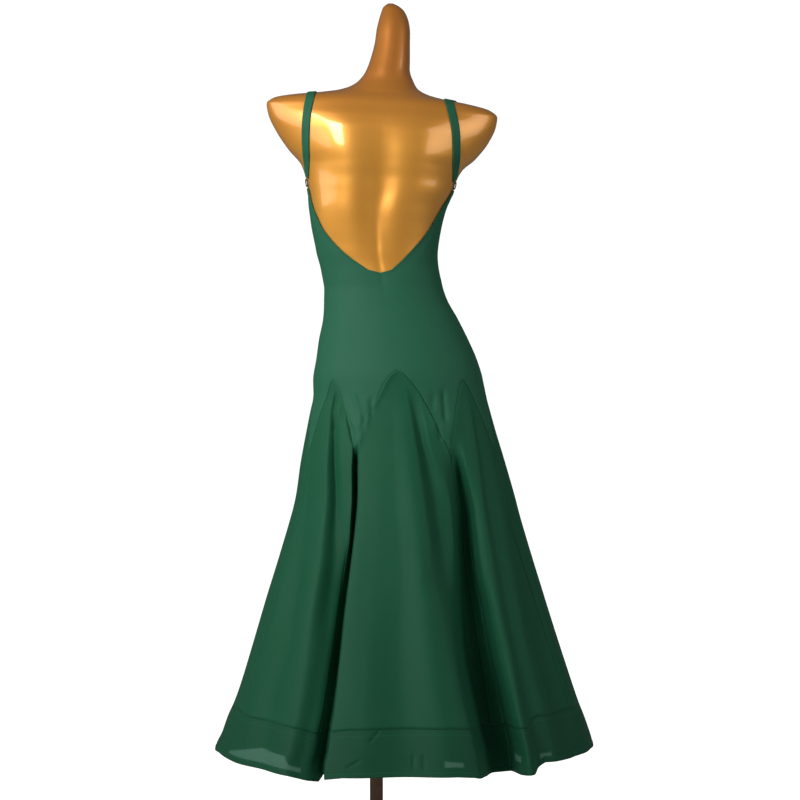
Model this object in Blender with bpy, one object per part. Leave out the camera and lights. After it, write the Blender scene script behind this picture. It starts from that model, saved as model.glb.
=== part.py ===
"""A backless ballroom practice dress on a limbless dress form that stands on a pole and a foot.

Metres, +Z up. The front of the dress faces -Y and the wearer's left is +X. The origin is on
the floor, on the axis of the pole. A turn is an angle in degrees round the figure, from the
centre back towards the wearer's left: 0 is the centre back, 90 the left side, 180 the front.
"""

import math
from typing import NamedTuple

import bmesh
import bpy
import numpy as np
from mathutils import Vector

# Cloth
CLOTH = 0.0015
BAND_CLOTH = 0.0015
STRAP_CLOTH = 0.0013
SEAM = 0.0003
EASE = 0.0026
STRAP_EASE = 0.0009

# Heights above the floor
HEM = 0.2780
BAND_DEPTH = 0.0810
SEAM_VALLEY = 0.8450
FORM_BOTTOM = 0.8600
BACK_CORNER = 1.3420
UNDERARM = 1.3360
FRONT_NECK = 1.3450
FRONT_CORNER = 1.4000

# Edges of the back and front, in degrees from the centre back
CORNER_INNER = 77.0
CORNER_OUTER = 84.0
SIDE = 90.0
FRONT_STRAP_OUTER = 129.5
FRONT_STRAP_INNER = 138.0
ARCH_CURVE = 1.6

# Straps and their rings
STRAP_WIDTH = 0.0150
STRAP_START = 1.3610
STRAP_FRONT_END = 1.4060
STRAP_ACROSS_BACK = 0.1390
STRAP_ACROSS_TOP = 0.1320
STRAP_ACROSS_FRONT = 0.1170
STRAP_STEPS = 40
RING_HEIGHT = 1.3512
RING_TURN = 80.5
RING_RADIUS = 0.0070
RING_WIRE = 0.0011

# Stand
POLE_RADIUS = 0.0125
FOOT_RADIUS = 0.1700
FOOT_THICK = 0.0120
HUB_RADIUS = 0.0230
HUB_TOP = 0.0550
SOCKET_FLOOR = 0.0150
SOCKET_GAP = 0.0003

# Mesh steps
FORM_SIDES = 40
FORM_STEP = 0.020
BODICE_ROWS = 14
GODET_ROWS = 7
BAND_ROWS = 2
STRAP_COLUMNS = 1
SMOOTH_STEP = 0.001


class Level(NamedTuple):
    """The height of an edge at a turn."""

    turn: float
    height: float


# The hem all round, which dips at the back left and rises at the right side.
HEM_LEVELS = [
    Level(0.0, 0.2740),
    Level(20.0, 0.2735),
    Level(30.0, 0.2665),
    Level(60.0, 0.2695),
    Level(90.0, 0.2765),
    Level(180.0, 0.2760),
    Level(240.0, 0.2800),
    Level(270.0, 0.2860),
    Level(315.0, 0.2790),
    Level(335.0, 0.2750),
]
# The open back, from the point of its V up to the strap, the same at both sides.
NECKLINE = [
    Level(0.0, 1.1810),
    Level(10.5, 1.1866),
    Level(23.5, 1.2054),
    Level(35.0, 1.2242),
    Level(45.5, 1.2430),
    Level(55.0, 1.2628),
    Level(62.0, 1.2822),
    Level(69.0, 1.3013),
    Level(74.0, 1.3206),
    Level(CORNER_INNER, BACK_CORNER),
]


class Section(NamedTuple):
    """A level cut of the form or the skirt: its centre, half width and depths from the centre."""

    height: float
    centre_x: float
    centre_y: float
    half_width: float
    front: float
    back: float
    squareness: float
    tilt: float


# The tilt lifts the wearer's left shoulder, in degrees.
FORM = [
    Section(0.8600, -0.0448, 0.010, 0.1450, 0.088, 0.092, 2.10, 0.0),
    Section(0.9000, -0.0448, 0.010, 0.1550, 0.094, 0.104, 2.10, 0.0),
    Section(0.9425, -0.0448, 0.006, 0.1600, 0.098, 0.112, 2.10, 0.0),
    Section(0.9805, -0.0410, 0.004, 0.1572, 0.099, 0.1125, 2.10, 0.0),
    Section(1.0185, -0.0382, 0.002, 0.1486, 0.098, 0.1065, 2.10, 0.0),
    Section(1.0565, -0.0325, 0.000, 0.1377, 0.096, 0.097, 2.10, 0.0),
    Section(1.0945, -0.0268, -0.002, 0.1244, 0.092, 0.086, 2.10, 0.0),
    Section(1.1325, -0.0173, -0.004, 0.1130, 0.088, 0.077, 2.10, 0.0),
    Section(1.1610, -0.0125, -0.005, 0.1086, 0.086, 0.073, 2.10, 0.0),
    Section(1.1895, -0.0068, -0.005, 0.1082, 0.087, 0.073, 2.10, 0.0),
    Section(1.2275, -0.0011, -0.004, 0.1120, 0.091, 0.077, 2.10, 0.0),
    Section(1.2655, -0.0002, -0.002, 0.1187, 0.098, 0.083, 2.10, 0.0),
    Section(1.3035, -0.0021, 0.000, 0.1263, 0.104, 0.089, 2.10, 0.3),
    Section(1.3396, -0.0078, 0.000, 0.1377, 0.107, 0.094, 2.05, 0.8),
    Section(1.3586, -0.0086, 0.000, 0.1424, 0.106, 0.096, 2.00, 1.3),
    Section(1.3833, -0.0100, 0.001, 0.1530, 0.103, 0.099, 1.90, 2.2),
    Section(1.4080, -0.0106, 0.002, 0.1775, 0.097, 0.100, 1.80, 3.0),
    Section(1.4440, -0.0106, 0.003, 0.2035, 0.087, 0.098, 1.75, 3.5),
    Section(1.4726, -0.0106, 0.005, 0.2165, 0.073, 0.087, 1.75, 3.5),
    Section(1.4916, -0.0106, 0.006, 0.2195, 0.060, 0.075, 1.75, 3.5),
    Section(1.5040, -0.0106, 0.007, 0.2050, 0.054, 0.068, 1.75, 3.5),
    Section(1.5120, -0.0106, 0.008, 0.1700, 0.050, 0.061, 1.75, 3.5),
    Section(1.5195, -0.0106, 0.008, 0.1160, 0.046, 0.054, 1.80, 3.5),
    Section(1.5258, -0.0125, 0.008, 0.0850, 0.044, 0.050, 1.85, 3.3),
    Section(1.5353, -0.0155, 0.006, 0.0635, 0.043, 0.046, 1.95, 3.0),
    Section(1.5486, -0.0192, 0.002, 0.0513, 0.042, 0.043, 2.00, 2.0),
    Section(1.5676, -0.0220, -0.002, 0.0418, 0.041, 0.041, 2.00, 1.0),
    Section(1.5885, -0.0258, -0.006, 0.0380, 0.038, 0.038, 2.00, 0.0),
    Section(1.6265, -0.0306, -0.014, 0.0333, 0.034, 0.034, 2.00, 0.0),
    Section(1.6455, -0.0318, -0.018, 0.0322, 0.032, 0.032, 2.00, 0.0),
    Section(1.6645, -0.0325, -0.021, 0.0288, 0.028, 0.028, 2.00, 0.0),
    Section(1.6835, -0.0315, -0.024, 0.0222, 0.021, 0.021, 2.00, 0.0),
    Section(1.6930, -0.0285, -0.025, 0.0155, 0.015, 0.015, 2.00, 0.0),
    Section(1.6990, -0.0270, -0.025, 0.0060, 0.006, 0.006, 2.00, 0.0),
]


# The skirt's crests reach these sections, and its folds are cut in from them.
SKIRT = [
    Section(0.2600, -0.0534, 0.000, 0.3610, 0.353, 0.359, 2.00, 0.0),
    Section(0.2780, -0.0534, 0.000, 0.3590, 0.346, 0.352, 2.00, 0.0),
    Section(0.2870, -0.0534, 0.000, 0.3580, 0.342, 0.348, 2.00, 0.0),
    Section(0.3155, -0.0562, 0.000, 0.3480, 0.330, 0.336, 2.00, 0.0),
    Section(0.3440, -0.0562, 0.000, 0.3380, 0.318, 0.324, 2.00, 0.0),
    Section(0.3725, -0.0570, 0.000, 0.3260, 0.306, 0.311, 2.00, 0.0),
    Section(0.4010, -0.0572, 0.000, 0.3160, 0.294, 0.299, 2.00, 0.0),
    Section(0.4865, -0.0562, 0.000, 0.2890, 0.262, 0.266, 2.00, 0.0),
    Section(0.5720, -0.0553, 0.000, 0.2630, 0.230, 0.235, 2.00, 0.0),
    Section(0.6575, -0.0553, 0.002, 0.2366, 0.198, 0.206, 2.00, 0.0),
    Section(0.7430, -0.0553, 0.004, 0.2120, 0.168, 0.180, 2.00, 0.0),
    Section(0.8285, -0.0500, 0.008, 0.1930, 0.138, 0.150, 2.02, 0.0),
    Section(0.8855, -0.0467, 0.010, 0.1790, 0.118, 0.130, 2.05, 0.0),
    Section(0.9235, -0.0452, 0.008, 0.1700, 0.106, 0.120, 2.10, 0.0),
    Section(0.9425, -0.0448, 0.006, 0.1655, 0.103, 0.118, 2.10, 0.0),
    Section(0.9805, -0.0410, 0.004, 0.1598, 0.1012, 0.1162, 2.10, 0.0),
    Section(1.0185, -0.0382, 0.002, 0.1512, 0.1002, 0.1092, 2.10, 0.0),
    Section(1.0565, -0.0325, 0.000, 0.1399, 0.0982, 0.0992, 2.10, 0.0),
]
SKIRT_ONLY = 0.9300
FORM_ONLY = 0.9900


class Relief(NamedTuple):
    """A soft rise or hollow of the form, at both sides of its middle."""

    name: str
    faces: int
    across: float
    height: float
    spread_across: float
    spread_height: float
    rise: float


BACK, FRONT = 1, -1
RELIEFS = [
    Relief("spine furrow", BACK, 0.000, 1.330, 0.024, 0.110, -0.0070),
    Relief("shoulder blade", BACK, 0.078, 1.430, 0.040, 0.055, 0.0080),
    Relief("bust", FRONT, 0.064, 1.315, 0.052, 0.054, 0.0150),
]


class Godet(NamedTuple):
    """A pointed skirt panel, from its first seam to its last, with its point at the middle."""

    name: str
    first: float
    middle: float
    last: float
    apex: float
    columns: int


GODETS = [
    Godet("godet_back", -27.5, 0.0, 27.5, 0.9965, 14),
    Godet("godet_back_left", 27.5, 48.25, 69.0, 0.9800, 10),
    Godet("godet_left", 69.0, 90.0, 111.0, 0.9580, 10),
    Godet("godet_front_left", 111.0, 131.75, 152.5, 0.9800, 10),
    Godet("godet_front", 152.5, 180.0, 207.5, 0.9965, 14),
    Godet("godet_front_right", 207.5, 228.25, 249.0, 0.9800, 10),
    Godet("godet_right", 249.0, 270.0, 291.0, 0.9580, 10),
    Godet("godet_back_right", 291.0, 311.75, 332.5, 0.9800, 10),
]


class Fold(NamedTuple):
    """A valley of the skirt. It starts at a height and is deepest at the hem.

    Before and after are its half widths towards smaller and larger turns, and slide carries
    its bottom round, so that it runs in behind the crest beside it.
    """

    name: str
    start: float
    turn: float
    before: float
    after: float
    depth: float
    slide: float


FOLDS = [
    Fold("centre back trough", 0.930, 6.0, 13.0, 12.0, 0.012, 0.0),
    Fold("back left seam", 0.900, 27.5, 5.0, 12.0, 0.085, -6.0),
    Fold("back left trough", 0.900, 50.0, 9.0, 9.0, 0.014, 0.0),
    Fold("side left, back seam", 0.880, 69.0, 9.0, 8.0, 0.045, 0.0),
    Fold("side left, front seam", 0.880, 111.0, 8.0, 10.0, 0.062, 2.0),
    Fold("front left trough", 0.900, 132.0, 8.0, 8.0, 0.020, 0.0),
    Fold("front left seam", 0.900, 152.5, 11.0, 6.0, 0.090, 3.0),
    Fold("centre front trough", 0.930, 183.0, 13.0, 12.0, 0.014, 0.0),
    Fold("front right seam", 0.900, 207.5, 6.0, 11.0, 0.078, -3.0),
    Fold("front right trough", 0.900, 230.0, 8.0, 9.0, 0.016, 0.0),
    Fold("side right, front seam", 0.880, 249.0, 10.0, 8.0, 0.070, -2.0),
    Fold("side right, back seam", 0.880, 291.0, 7.0, 8.0, 0.048, 0.0),
    Fold("back right trough", 0.900, 314.0, 10.0, 4.5, 0.055, 2.0),
    Fold("back right seam", 0.900, 332.5, 6.0, 12.0, 0.100, -2.5),
]


class Finish(NamedTuple):
    """Colour (linear), roughness and metallic value of a material."""

    colour: tuple
    roughness: float
    metallic: float


GREEN_JERSEY = Finish((0.020, 0.115, 0.065), 0.70, 0.0)
GREEN_CREPE = Finish((0.016, 0.090, 0.045), 0.75, 0.0)
GREEN_BAND = Finish((0.013, 0.075, 0.038), 0.70, 0.0)
GOLD_LACQUER = Finish((0.640, 0.320, 0.070), 0.22, 1.0)
DARK_BRONZE = Finish((0.080, 0.045, 0.025), 0.35, 0.9)
GREEN_METAL = Finish((0.015, 0.070, 0.040), 0.35, 0.5)


def clear_scene():
    for thing in list(bpy.data.objects):
        bpy.data.objects.remove(thing)


def material(name, finish):
    made = bpy.data.materials.new(name)
    made.use_nodes = True
    shader = made.node_tree.nodes["Principled BSDF"]
    shader.inputs["Base Color"].default_value = (*finish.colour, 1.0)
    shader.inputs["Roughness"].default_value = finish.roughness
    shader.inputs["Metallic"].default_value = finish.metallic
    return made


def smooth_rows(rows):
    """The rows of a section table, filled in along a curve that never overshoots them."""
    table = np.array(rows, dtype=float)
    heights = table[:, 0]
    secants = np.diff(table, axis=0) / np.diff(heights)[:, None]
    before, after = secants[:-1], secants[1:]
    with_sum = np.where(before * after > 0, before + after, 1.0)
    inner = np.where(before * after > 0, 2 * before * after / with_sum, 0.0)
    slopes = np.vstack([secants[:1], inner, secants[-1:]])
    levels = np.arange(heights[0], heights[-1] + SMOOTH_STEP, SMOOTH_STEP)
    levels[-1] = heights[-1]
    index = np.clip(np.searchsorted(heights, levels, side="right") - 1, 0, len(rows) - 2)
    span = (heights[index + 1] - heights[index])[:, None]
    part = (levels - heights[index])[:, None] / span
    start, end = table[index], table[index + 1]
    leave, arrive = slopes[index] * span, slopes[index + 1] * span
    bend = part * part * (3 - 2 * part)
    early = part * (1 - part) ** 2
    late = -part * part * (1 - part)
    return start + (end - start) * bend + leave * early + arrive * late


FORM_CURVES = smooth_rows(FORM)
SKIRT_CURVES = smooth_rows(SKIRT)


def section_at(curves, height):
    """The section at a height, held at the table's first and last rows beyond them."""
    place = (height - curves[0, 0]) / SMOOTH_STEP
    place = min(max(place, 0.0), len(curves) - 1.0)
    index = min(int(place), len(curves) - 2)
    part = place - index
    return Section(*(curves[index] * (1 - part) + curves[index + 1] * part))


def around(section, turn):
    """How far across and along a section lies at a turn, from its centre."""
    sine, cosine = math.sin(math.radians(turn)), math.cos(math.radians(turn))
    power = 2 / section.squareness
    depth = section.back if cosine > 0 else section.front
    across = math.copysign(abs(sine) ** power, sine) * section.half_width
    along = math.copysign(abs(cosine) ** power, cosine) * depth
    return across, along


def relief_at(across, turn, height):
    """How far the form's soft rises stand out along Y."""
    cosine = math.cos(math.radians(turn))
    total = 0.0
    for relief in RELIEFS:
        if cosine * relief.faces <= 0:
            continue
        side = (abs(across) - relief.across) / relief.spread_across
        level = (height - relief.height) / relief.spread_height
        total += relief.rise * math.exp(-side * side - level * level) * cosine
    return total


def form_point(turn, height):
    section = section_at(FORM_CURVES, height)
    across, along = around(section, turn)
    along += relief_at(across, turn, height)
    tilt = math.radians(section.tilt)
    x = section.centre_x + across * math.cos(tilt)
    z = height + across * math.sin(tilt)
    return Vector((x, section.centre_y + along, z))


def fold_at(turn, height):
    """How far the folds cut in at a turn and height, and how far round they carry the cloth."""
    inward, slide = 0.0, 0.0
    for fold in FOLDS:
        growth = (fold.start - height) / (fold.start - HEM)
        if growth <= 0:
            continue
        offset = (turn - fold.turn + 180) % 360 - 180
        reach = offset / (fold.after if offset > 0 else fold.before)
        if abs(reach) >= 1:
            continue
        shape = (1 + math.cos(math.pi * reach)) / 2
        inward += fold.depth * growth * shape
        slide += fold.slide * min(growth * 1.5, 1.0) * shape
    return inward, slide


def skirt_point(turn, height):
    section = section_at(SKIRT_CURVES, height)
    inward, slide = fold_at(turn, height)
    across, along = around(section, turn + slide)
    outwards = Vector((across / section.half_width**2, along / section.back**2, 0.0)).normalized()
    rim = Vector((section.centre_x + across, section.centre_y + along, height))
    return rim - outwards * inward


def normal_at(surface, turn, height):
    """The outward normal of a surface, from steps of half a degree and one millimetre."""
    round_it = surface(turn + 0.5, height) - surface(turn - 0.5, height)
    up_it = surface(turn, height + 0.001) - surface(turn, height - 0.001)
    return up_it.cross(round_it).normalized()


def bodice_point(turn, height):
    return form_point(turn, height) + normal_at(form_point, turn, height) * (EASE + CLOTH)


def dress_point(turn, height):
    """The outer face of the dress: on the form above the hips, free of it below."""
    if height >= FORM_ONLY:
        return bodice_point(turn, height)
    if height <= SKIRT_ONLY:
        return skirt_point(turn, height)
    part = (height - SKIRT_ONLY) / (FORM_ONLY - SKIRT_ONLY)
    return skirt_point(turn, height).lerp(bodice_point(turn, height), part * part * (3 - 2 * part))


def seam_height(turn):
    """The zigzag seam between the bodice and the godets."""
    for godet in GODETS:
        offset = (turn - godet.middle + 180) % 360 - 180
        half = (godet.last - godet.middle) if offset > 0 else (godet.middle - godet.first)
        if abs(offset) <= half + 1e-6:
            fall = min(abs(offset) / half, 1.0) ** ARCH_CURVE
            return godet.apex - (godet.apex - SEAM_VALLEY) * fall
    return SEAM_VALLEY


def round_step(turn, height):
    """Metres along the dress for one degree of turn."""
    return (dress_point(turn + 0.5, height) - dress_point(turn - 0.5, height)).length


def seam_gap(turn):
    """Half the seam's gap, measured upwards, so that it is half of SEAM across the seam."""
    height = seam_height(turn)
    steepest = max(abs(seam_height(turn + step) - height) for step in (-0.5, 0.5))
    slope = steepest / (0.5 * round_step(turn, height))
    return 0.5 * SEAM * math.hypot(1.0, slope)


def hem_height(turn):
    turns, heights = zip(*HEM_LEVELS)
    return float(np.interp(turn, turns, heights, period=360))


def back_top(turn):
    """The top edge of the back: the V, the strap corner, then the armhole."""
    away = abs((turn + 180) % 360 - 180)
    if away <= CORNER_INNER:
        turns, heights = zip(*NECKLINE)
        return float(np.interp(away, turns, heights))
    if away <= CORNER_OUTER:
        return BACK_CORNER
    part = (away - CORNER_OUTER) / (SIDE - CORNER_OUTER)
    return BACK_CORNER + (UNDERARM - BACK_CORNER) * part


def front_top(turn):
    """The top edge of the front: the armhole, the strap corner, then a plain scoop."""
    away = abs((turn + 180) % 360 - 180)
    if away <= FRONT_STRAP_OUTER:
        part = (away - SIDE) / (FRONT_STRAP_OUTER - SIDE)
        return UNDERARM + (FRONT_CORNER - UNDERARM) * part**2
    if away <= FRONT_STRAP_INNER:
        return FRONT_CORNER
    part = (180 - away) / (180 - FRONT_STRAP_INNER)
    return FRONT_NECK + (FRONT_CORNER - FRONT_NECK) * part**2


def spread_columns(first, last, count):
    """Turns from first to last, an equal length of hem apart."""
    fine = np.linspace(first, last, 241)
    hem = [dress_point(turn, HEM) for turn in fine]
    steps = [(b - a).length for a, b in zip(hem, hem[1:])]
    reached = np.concatenate([[0.0], np.cumsum(steps)])
    turns = np.interp(np.linspace(0.0, reached[-1], count + 1), reached, fine)
    return [float(turn) for turn in turns]


def godet_columns(godet):
    half = godet.columns // 2
    first = spread_columns(godet.first, godet.middle, half)
    return first[:-1] + spread_columns(godet.middle, godet.last, half)


def all_columns():
    """Every column of the skirt once, from the first seam of the centre back godet round."""
    turns = []
    for godet in GODETS:
        turns += godet_columns(godet)[:-1]
    return turns


def columns_from(first, last):
    """The skirt's columns between two turns, so that neighbouring pieces share them."""
    round_and_round = [turn + lap for lap in (-360, 0, 360) for turn in all_columns()]
    inside = [turn for turn in round_and_round if first + 0.01 < turn < last - 0.01]
    return [first, *sorted(inside), last]


def cloth_wall(name, columns, rows, place, finish):
    """A closed wall: a grid whose outer and inner points come from place(column, row)."""
    wall = bmesh.new()
    bmesh.ops.create_grid(wall, x_segments=columns, y_segments=rows, size=0.5)
    copied = bmesh.ops.extrude_face_region(wall, geom=wall.faces[:], use_keep_orig=True)
    inside = {item for item in copied["geom"] if isinstance(item, bmesh.types.BMVert)}
    for vertex in wall.verts:
        column = round((vertex.co.x + 0.5) * columns)
        row = round((vertex.co.y + 0.5) * rows)
        outer, inner = place(column, row)
        vertex.co = inner if vertex in inside else outer
    return new_object(name, wall, finish)


def new_object(name, shape, finish):
    """An object of a closed bmesh, with its faces turned outwards."""
    bmesh.ops.recalc_face_normals(shape, faces=shape.faces[:])
    if shape.calc_volume(signed=True) < 0:
        bmesh.ops.reverse_faces(shape, faces=shape.faces[:])
    mesh = bpy.data.meshes.new(name)
    shape.to_mesh(mesh)
    shape.free()
    mesh.shade_smooth()
    mesh.set_sharp_from_angle(angle=math.radians(35))
    thing = bpy.data.objects.new(name, mesh)
    mesh.materials.append(material(name, finish))
    PARTS.objects.link(thing)
    return thing


def dress_panel(name, turns, bottom, top, rows, thick, finish):
    """A panel of the dress between its first and last turns, from bottom(turn) to top(turn)."""
    last = len(turns) - 1

    def place(column, row):
        turn = turns[column]
        low, high = bottom(turn), top(turn)
        height = low + (high - low) * row / rows
        half_gap = 0.5 * SEAM / round_step(turn, height)
        if column == 0:
            turn += half_gap
        if column == last:
            turn -= half_gap
        outer = dress_point(turn, height)
        return outer, outer - normal_at(dress_point, turn, height) * thick

    return cloth_wall(name, last, rows, place, finish)


def bodice():
    def seam_above(turn):
        return seam_height(turn) + seam_gap(turn)

    back_stops = [-CORNER_OUTER, -CORNER_INNER, CORNER_INNER, CORNER_OUTER]
    back = sorted({*columns_from(-SIDE, SIDE), *back_stops})
    front_stops = [FRONT_STRAP_OUTER, FRONT_STRAP_INNER]
    front_stops += [360 - stop for stop in front_stops]
    front = sorted({*columns_from(SIDE, 360 - SIDE), *front_stops})
    dress_panel("bodice_back", back, seam_above, back_top, BODICE_ROWS, CLOTH, GREEN_JERSEY)
    dress_panel("bodice_front", front, seam_above, front_top, BODICE_ROWS, CLOTH, GREEN_JERSEY)


def skirt():
    def seam_below(turn):
        return seam_height(turn) - seam_gap(turn)

    def above_band(turn):
        return hem_height(turn) + BAND_DEPTH + 2 * SEAM

    for godet in GODETS:
        turns = godet_columns(godet)
        dress_panel(godet.name, turns, above_band, seam_below, GODET_ROWS, CLOTH, GREEN_CREPE)


def hem_band():
    def band_top(turn):
        return hem_height(turn) + BAND_DEPTH

    for name, first in (("hem_band_back", -SIDE), ("hem_band_front", SIDE)):
        turns = columns_from(first, first + 180)
        dress_panel(name, turns, hem_height, band_top, BAND_ROWS, BAND_CLOTH, GREEN_BAND)


def strap_route(side):
    """(turn, height) on the form, from the ring at the back over the shoulder to the front."""

    def turn_for(across, height):
        section = section_at(FORM_CURVES, height)
        reach = min(across / section.half_width, 1.0)
        return math.degrees(math.asin(reach ** (section.squareness / 2)))

    levels = np.arange(STRAP_START, 1.54, 0.0005)
    widths = [section_at(FORM_CURVES, level).half_width for level in levels]
    summit = max(i for i, width in enumerate(widths) if width > STRAP_ACROSS_TOP)
    climb = levels[: summit + 1]
    rise = (climb - climb[0]) / (climb[-1] - climb[0])
    back = []
    for level, part in zip(climb, rise):
        across = STRAP_ACROSS_BACK + (STRAP_ACROSS_TOP - STRAP_ACROSS_BACK) * part**3
        back.append((turn_for(across, level), level))
    front = []
    for level, part in zip(climb[::-1], rise[::-1]):
        if level < STRAP_FRONT_END:
            break
        across = STRAP_ACROSS_FRONT + (STRAP_ACROSS_TOP - STRAP_ACROSS_FRONT) * part**2
        front.append((180 - turn_for(across, level), level))
    route = back + front
    points = [form_point(side * turn, level) for turn, level in route]
    steps = [(b - a).length for a, b in zip(points, points[1:])]
    reached = np.concatenate([[0.0], np.cumsum(steps)])
    marks = np.linspace(0.0, reached[-1], STRAP_STEPS + 1)
    turns = np.interp(marks, reached, [turn for turn, _ in route])
    heights = np.interp(marks, reached, [level for _, level in route])
    return [(side * turn, level) for turn, level in zip(turns, heights)]


def straps():
    for name, side in (("strap_left", 1), ("strap_right", -1)):
        route = strap_route(side)
        spots = [form_point(turn, height) for turn, height in route]
        normals = [normal_at(form_point, turn, height) for turn, height in route]

        def place(column, row):
            before, after = spots[max(row - 1, 0)], spots[min(row + 1, STRAP_STEPS)]
            across = (after - before).cross(normals[row]).normalized()
            edge = spots[row] + across * STRAP_WIDTH * (column / STRAP_COLUMNS - 0.5)
            under = edge + normals[row] * STRAP_EASE
            return under + normals[row] * STRAP_CLOTH, under

        cloth_wall(name, STRAP_COLUMNS, STRAP_STEPS, place, GREEN_JERSEY)


def strap_rings():
    for name, side in (("strap_ring_left", 1), ("strap_ring_right", -1)):
        seat = form_point(side * RING_TURN, RING_HEIGHT)
        outwards = normal_at(form_point, side * RING_TURN, RING_HEIGHT)
        bpy.ops.mesh.primitive_torus_add(
            major_radius=RING_RADIUS,
            minor_radius=RING_WIRE,
            major_segments=16,
            minor_segments=6,
            location=seat + outwards * (STRAP_EASE + RING_WIRE),
            rotation=outwards.to_track_quat("Z", "Y").to_euler(),
        )
        adopt(bpy.context.object, name, GREEN_METAL)


def adopt(thing, name, finish):
    """Gives an object made by an operator its name, material and collection."""
    thing.name = name
    thing.data.name = name
    thing.data.shade_smooth()
    thing.data.set_sharp_from_angle(angle=math.radians(35))
    thing.data.materials.append(material(name, finish))
    for owner in list(thing.users_collection):
        owner.objects.unlink(thing)
    PARTS.objects.link(thing)


def form_torso():
    """The closed form, with rings of the mesh at the sections of its table and between them."""
    heights = [FORM[0].height]
    for lower, upper in zip(FORM, FORM[1:]):
        steps = math.ceil((upper.height - lower.height) / FORM_STEP - 0.01)
        heights += list(np.linspace(lower.height, upper.height, steps + 1)[1:])
    rows = len(heights) - 1
    body = bmesh.new()
    bmesh.ops.create_grid(body, x_segments=FORM_SIDES, y_segments=rows, size=0.5)
    for vertex in body.verts:
        turn = (vertex.co.x + 0.5) * 360
        vertex.co = form_point(turn, heights[round((vertex.co.y + 0.5) * rows)])
    bmesh.ops.remove_doubles(body, verts=body.verts[:], dist=0.00001)
    open_edges = [edge for edge in body.edges if edge.is_boundary]
    bmesh.ops.holes_fill(body, edges=open_edges, sides=FORM_SIDES)
    new_object("form_torso", body, GOLD_LACQUER)


def form_stand():
    """The pole, and the turned foot with the socket that takes it."""
    pole_bottom = SOCKET_FLOOR + SOCKET_GAP
    pole_top = FORM_BOTTOM - SOCKET_GAP
    bpy.ops.mesh.primitive_cylinder_add(
        vertices=32,
        radius=POLE_RADIUS,
        depth=pole_top - pole_bottom,
        location=(0.0, 0.0, (pole_top + pole_bottom) / 2),
    )
    adopt(bpy.context.object, "form_pole", DARK_BRONZE)

    bore = POLE_RADIUS + SOCKET_GAP
    edge = 0.003
    profile = [
        (0.0, SOCKET_FLOOR),
        (bore, SOCKET_FLOOR),
        (bore, HUB_TOP),
        (HUB_RADIUS - edge, HUB_TOP),
        (HUB_RADIUS, HUB_TOP - edge),
        (HUB_RADIUS, FOOT_THICK + 2 * edge),
        (HUB_RADIUS + 2 * edge, FOOT_THICK),
        (FOOT_RADIUS - edge, FOOT_THICK),
        (FOOT_RADIUS, FOOT_THICK - edge),
        (FOOT_RADIUS, 0.0),
        (0.0, 0.0),
    ]
    foot = bmesh.new()
    corners = [foot.verts.new((radius, 0.0, height)) for radius, height in profile]
    for a, b in zip(corners, corners[1:]):
        foot.edges.new((a, b))
    bmesh.ops.spin(
        foot,
        geom=foot.verts[:] + foot.edges[:],
        axis=(0.0, 0.0, 1.0),
        cent=(0.0, 0.0, 0.0),
        angle=2 * math.pi,
        steps=32,
        use_merge=True,
    )
    bmesh.ops.remove_doubles(foot, verts=foot.verts[:], dist=0.00001)
    new_object("form_base", foot, DARK_BRONZE)


clear_scene()
PARTS = bpy.data.collections.new("dance_dress_on_form")
bpy.context.scene.collection.children.link(PARTS)
form_torso()
form_stand()
bodice()
skirt()
hem_band()
straps()
strap_rings()
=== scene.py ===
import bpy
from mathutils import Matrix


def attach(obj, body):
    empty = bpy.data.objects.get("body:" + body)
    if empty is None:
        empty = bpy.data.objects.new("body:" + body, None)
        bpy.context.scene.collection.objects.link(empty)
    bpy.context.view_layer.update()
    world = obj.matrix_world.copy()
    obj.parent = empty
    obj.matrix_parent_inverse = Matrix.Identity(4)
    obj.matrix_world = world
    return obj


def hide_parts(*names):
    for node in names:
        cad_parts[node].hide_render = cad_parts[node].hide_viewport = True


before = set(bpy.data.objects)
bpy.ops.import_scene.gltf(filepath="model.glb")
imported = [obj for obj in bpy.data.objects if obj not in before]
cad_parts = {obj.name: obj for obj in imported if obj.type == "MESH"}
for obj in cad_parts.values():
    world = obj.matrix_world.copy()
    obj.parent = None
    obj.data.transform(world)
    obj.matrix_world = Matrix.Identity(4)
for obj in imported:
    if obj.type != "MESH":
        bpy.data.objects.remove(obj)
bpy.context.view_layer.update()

import math
from typing import NamedTuple

import bmesh
import bpy
import numpy as np
from mathutils import Vector

# A turn is an angle in degrees round the figure, from the centre back (+Y) towards the
# wearer's left (+X). Heights are metres above the floor.

# Cloth
JERSEY = 0.0009
BAND_JERSEY = 0.0011
STRAP_JERSEY = 0.0013
EASE = 0.0041
EDGE_EASE = 0.0019
STRAP_EASE = 0.0009
RIM_RISE = 0.0004
RIM_WIDTH = 0.0050
EDGE_HUG = 0.0220
BAND_RELIEF = 0.0007
BAND_STITCH_IN = 0.0035
HEM_STITCH_UP = 0.0095

HEM = 0.2780
BAND_DEPTH = 0.0810
SEAM_VALLEY = 0.8450
BACK_CORNER = 1.3420
UNDERARM = 1.3360
FRONT_NECK = 1.3450
FRONT_CORNER = 1.4000
CORNER_INNER = 77.0
CORNER_OUTER = 84.0
SIDE = 90.0
FRONT_STRAP_OUTER = 129.5
FRONT_STRAP_INNER = 138.0
ARCH_CURVE = 1.6

STRAP_WIDTH = 0.0168
STRAP_START = 1.3610
STRAP_FRONT_END = 1.4060
STRAP_ACROSS_BACK = 0.1390
STRAP_ACROSS_TOP = 0.1320
STRAP_ACROSS_FRONT = 0.1170
RING_HEIGHT = 1.3512
RING_TURN = 80.5
RING_RADIUS = 0.0070
RING_WIRE = 0.0011

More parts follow.
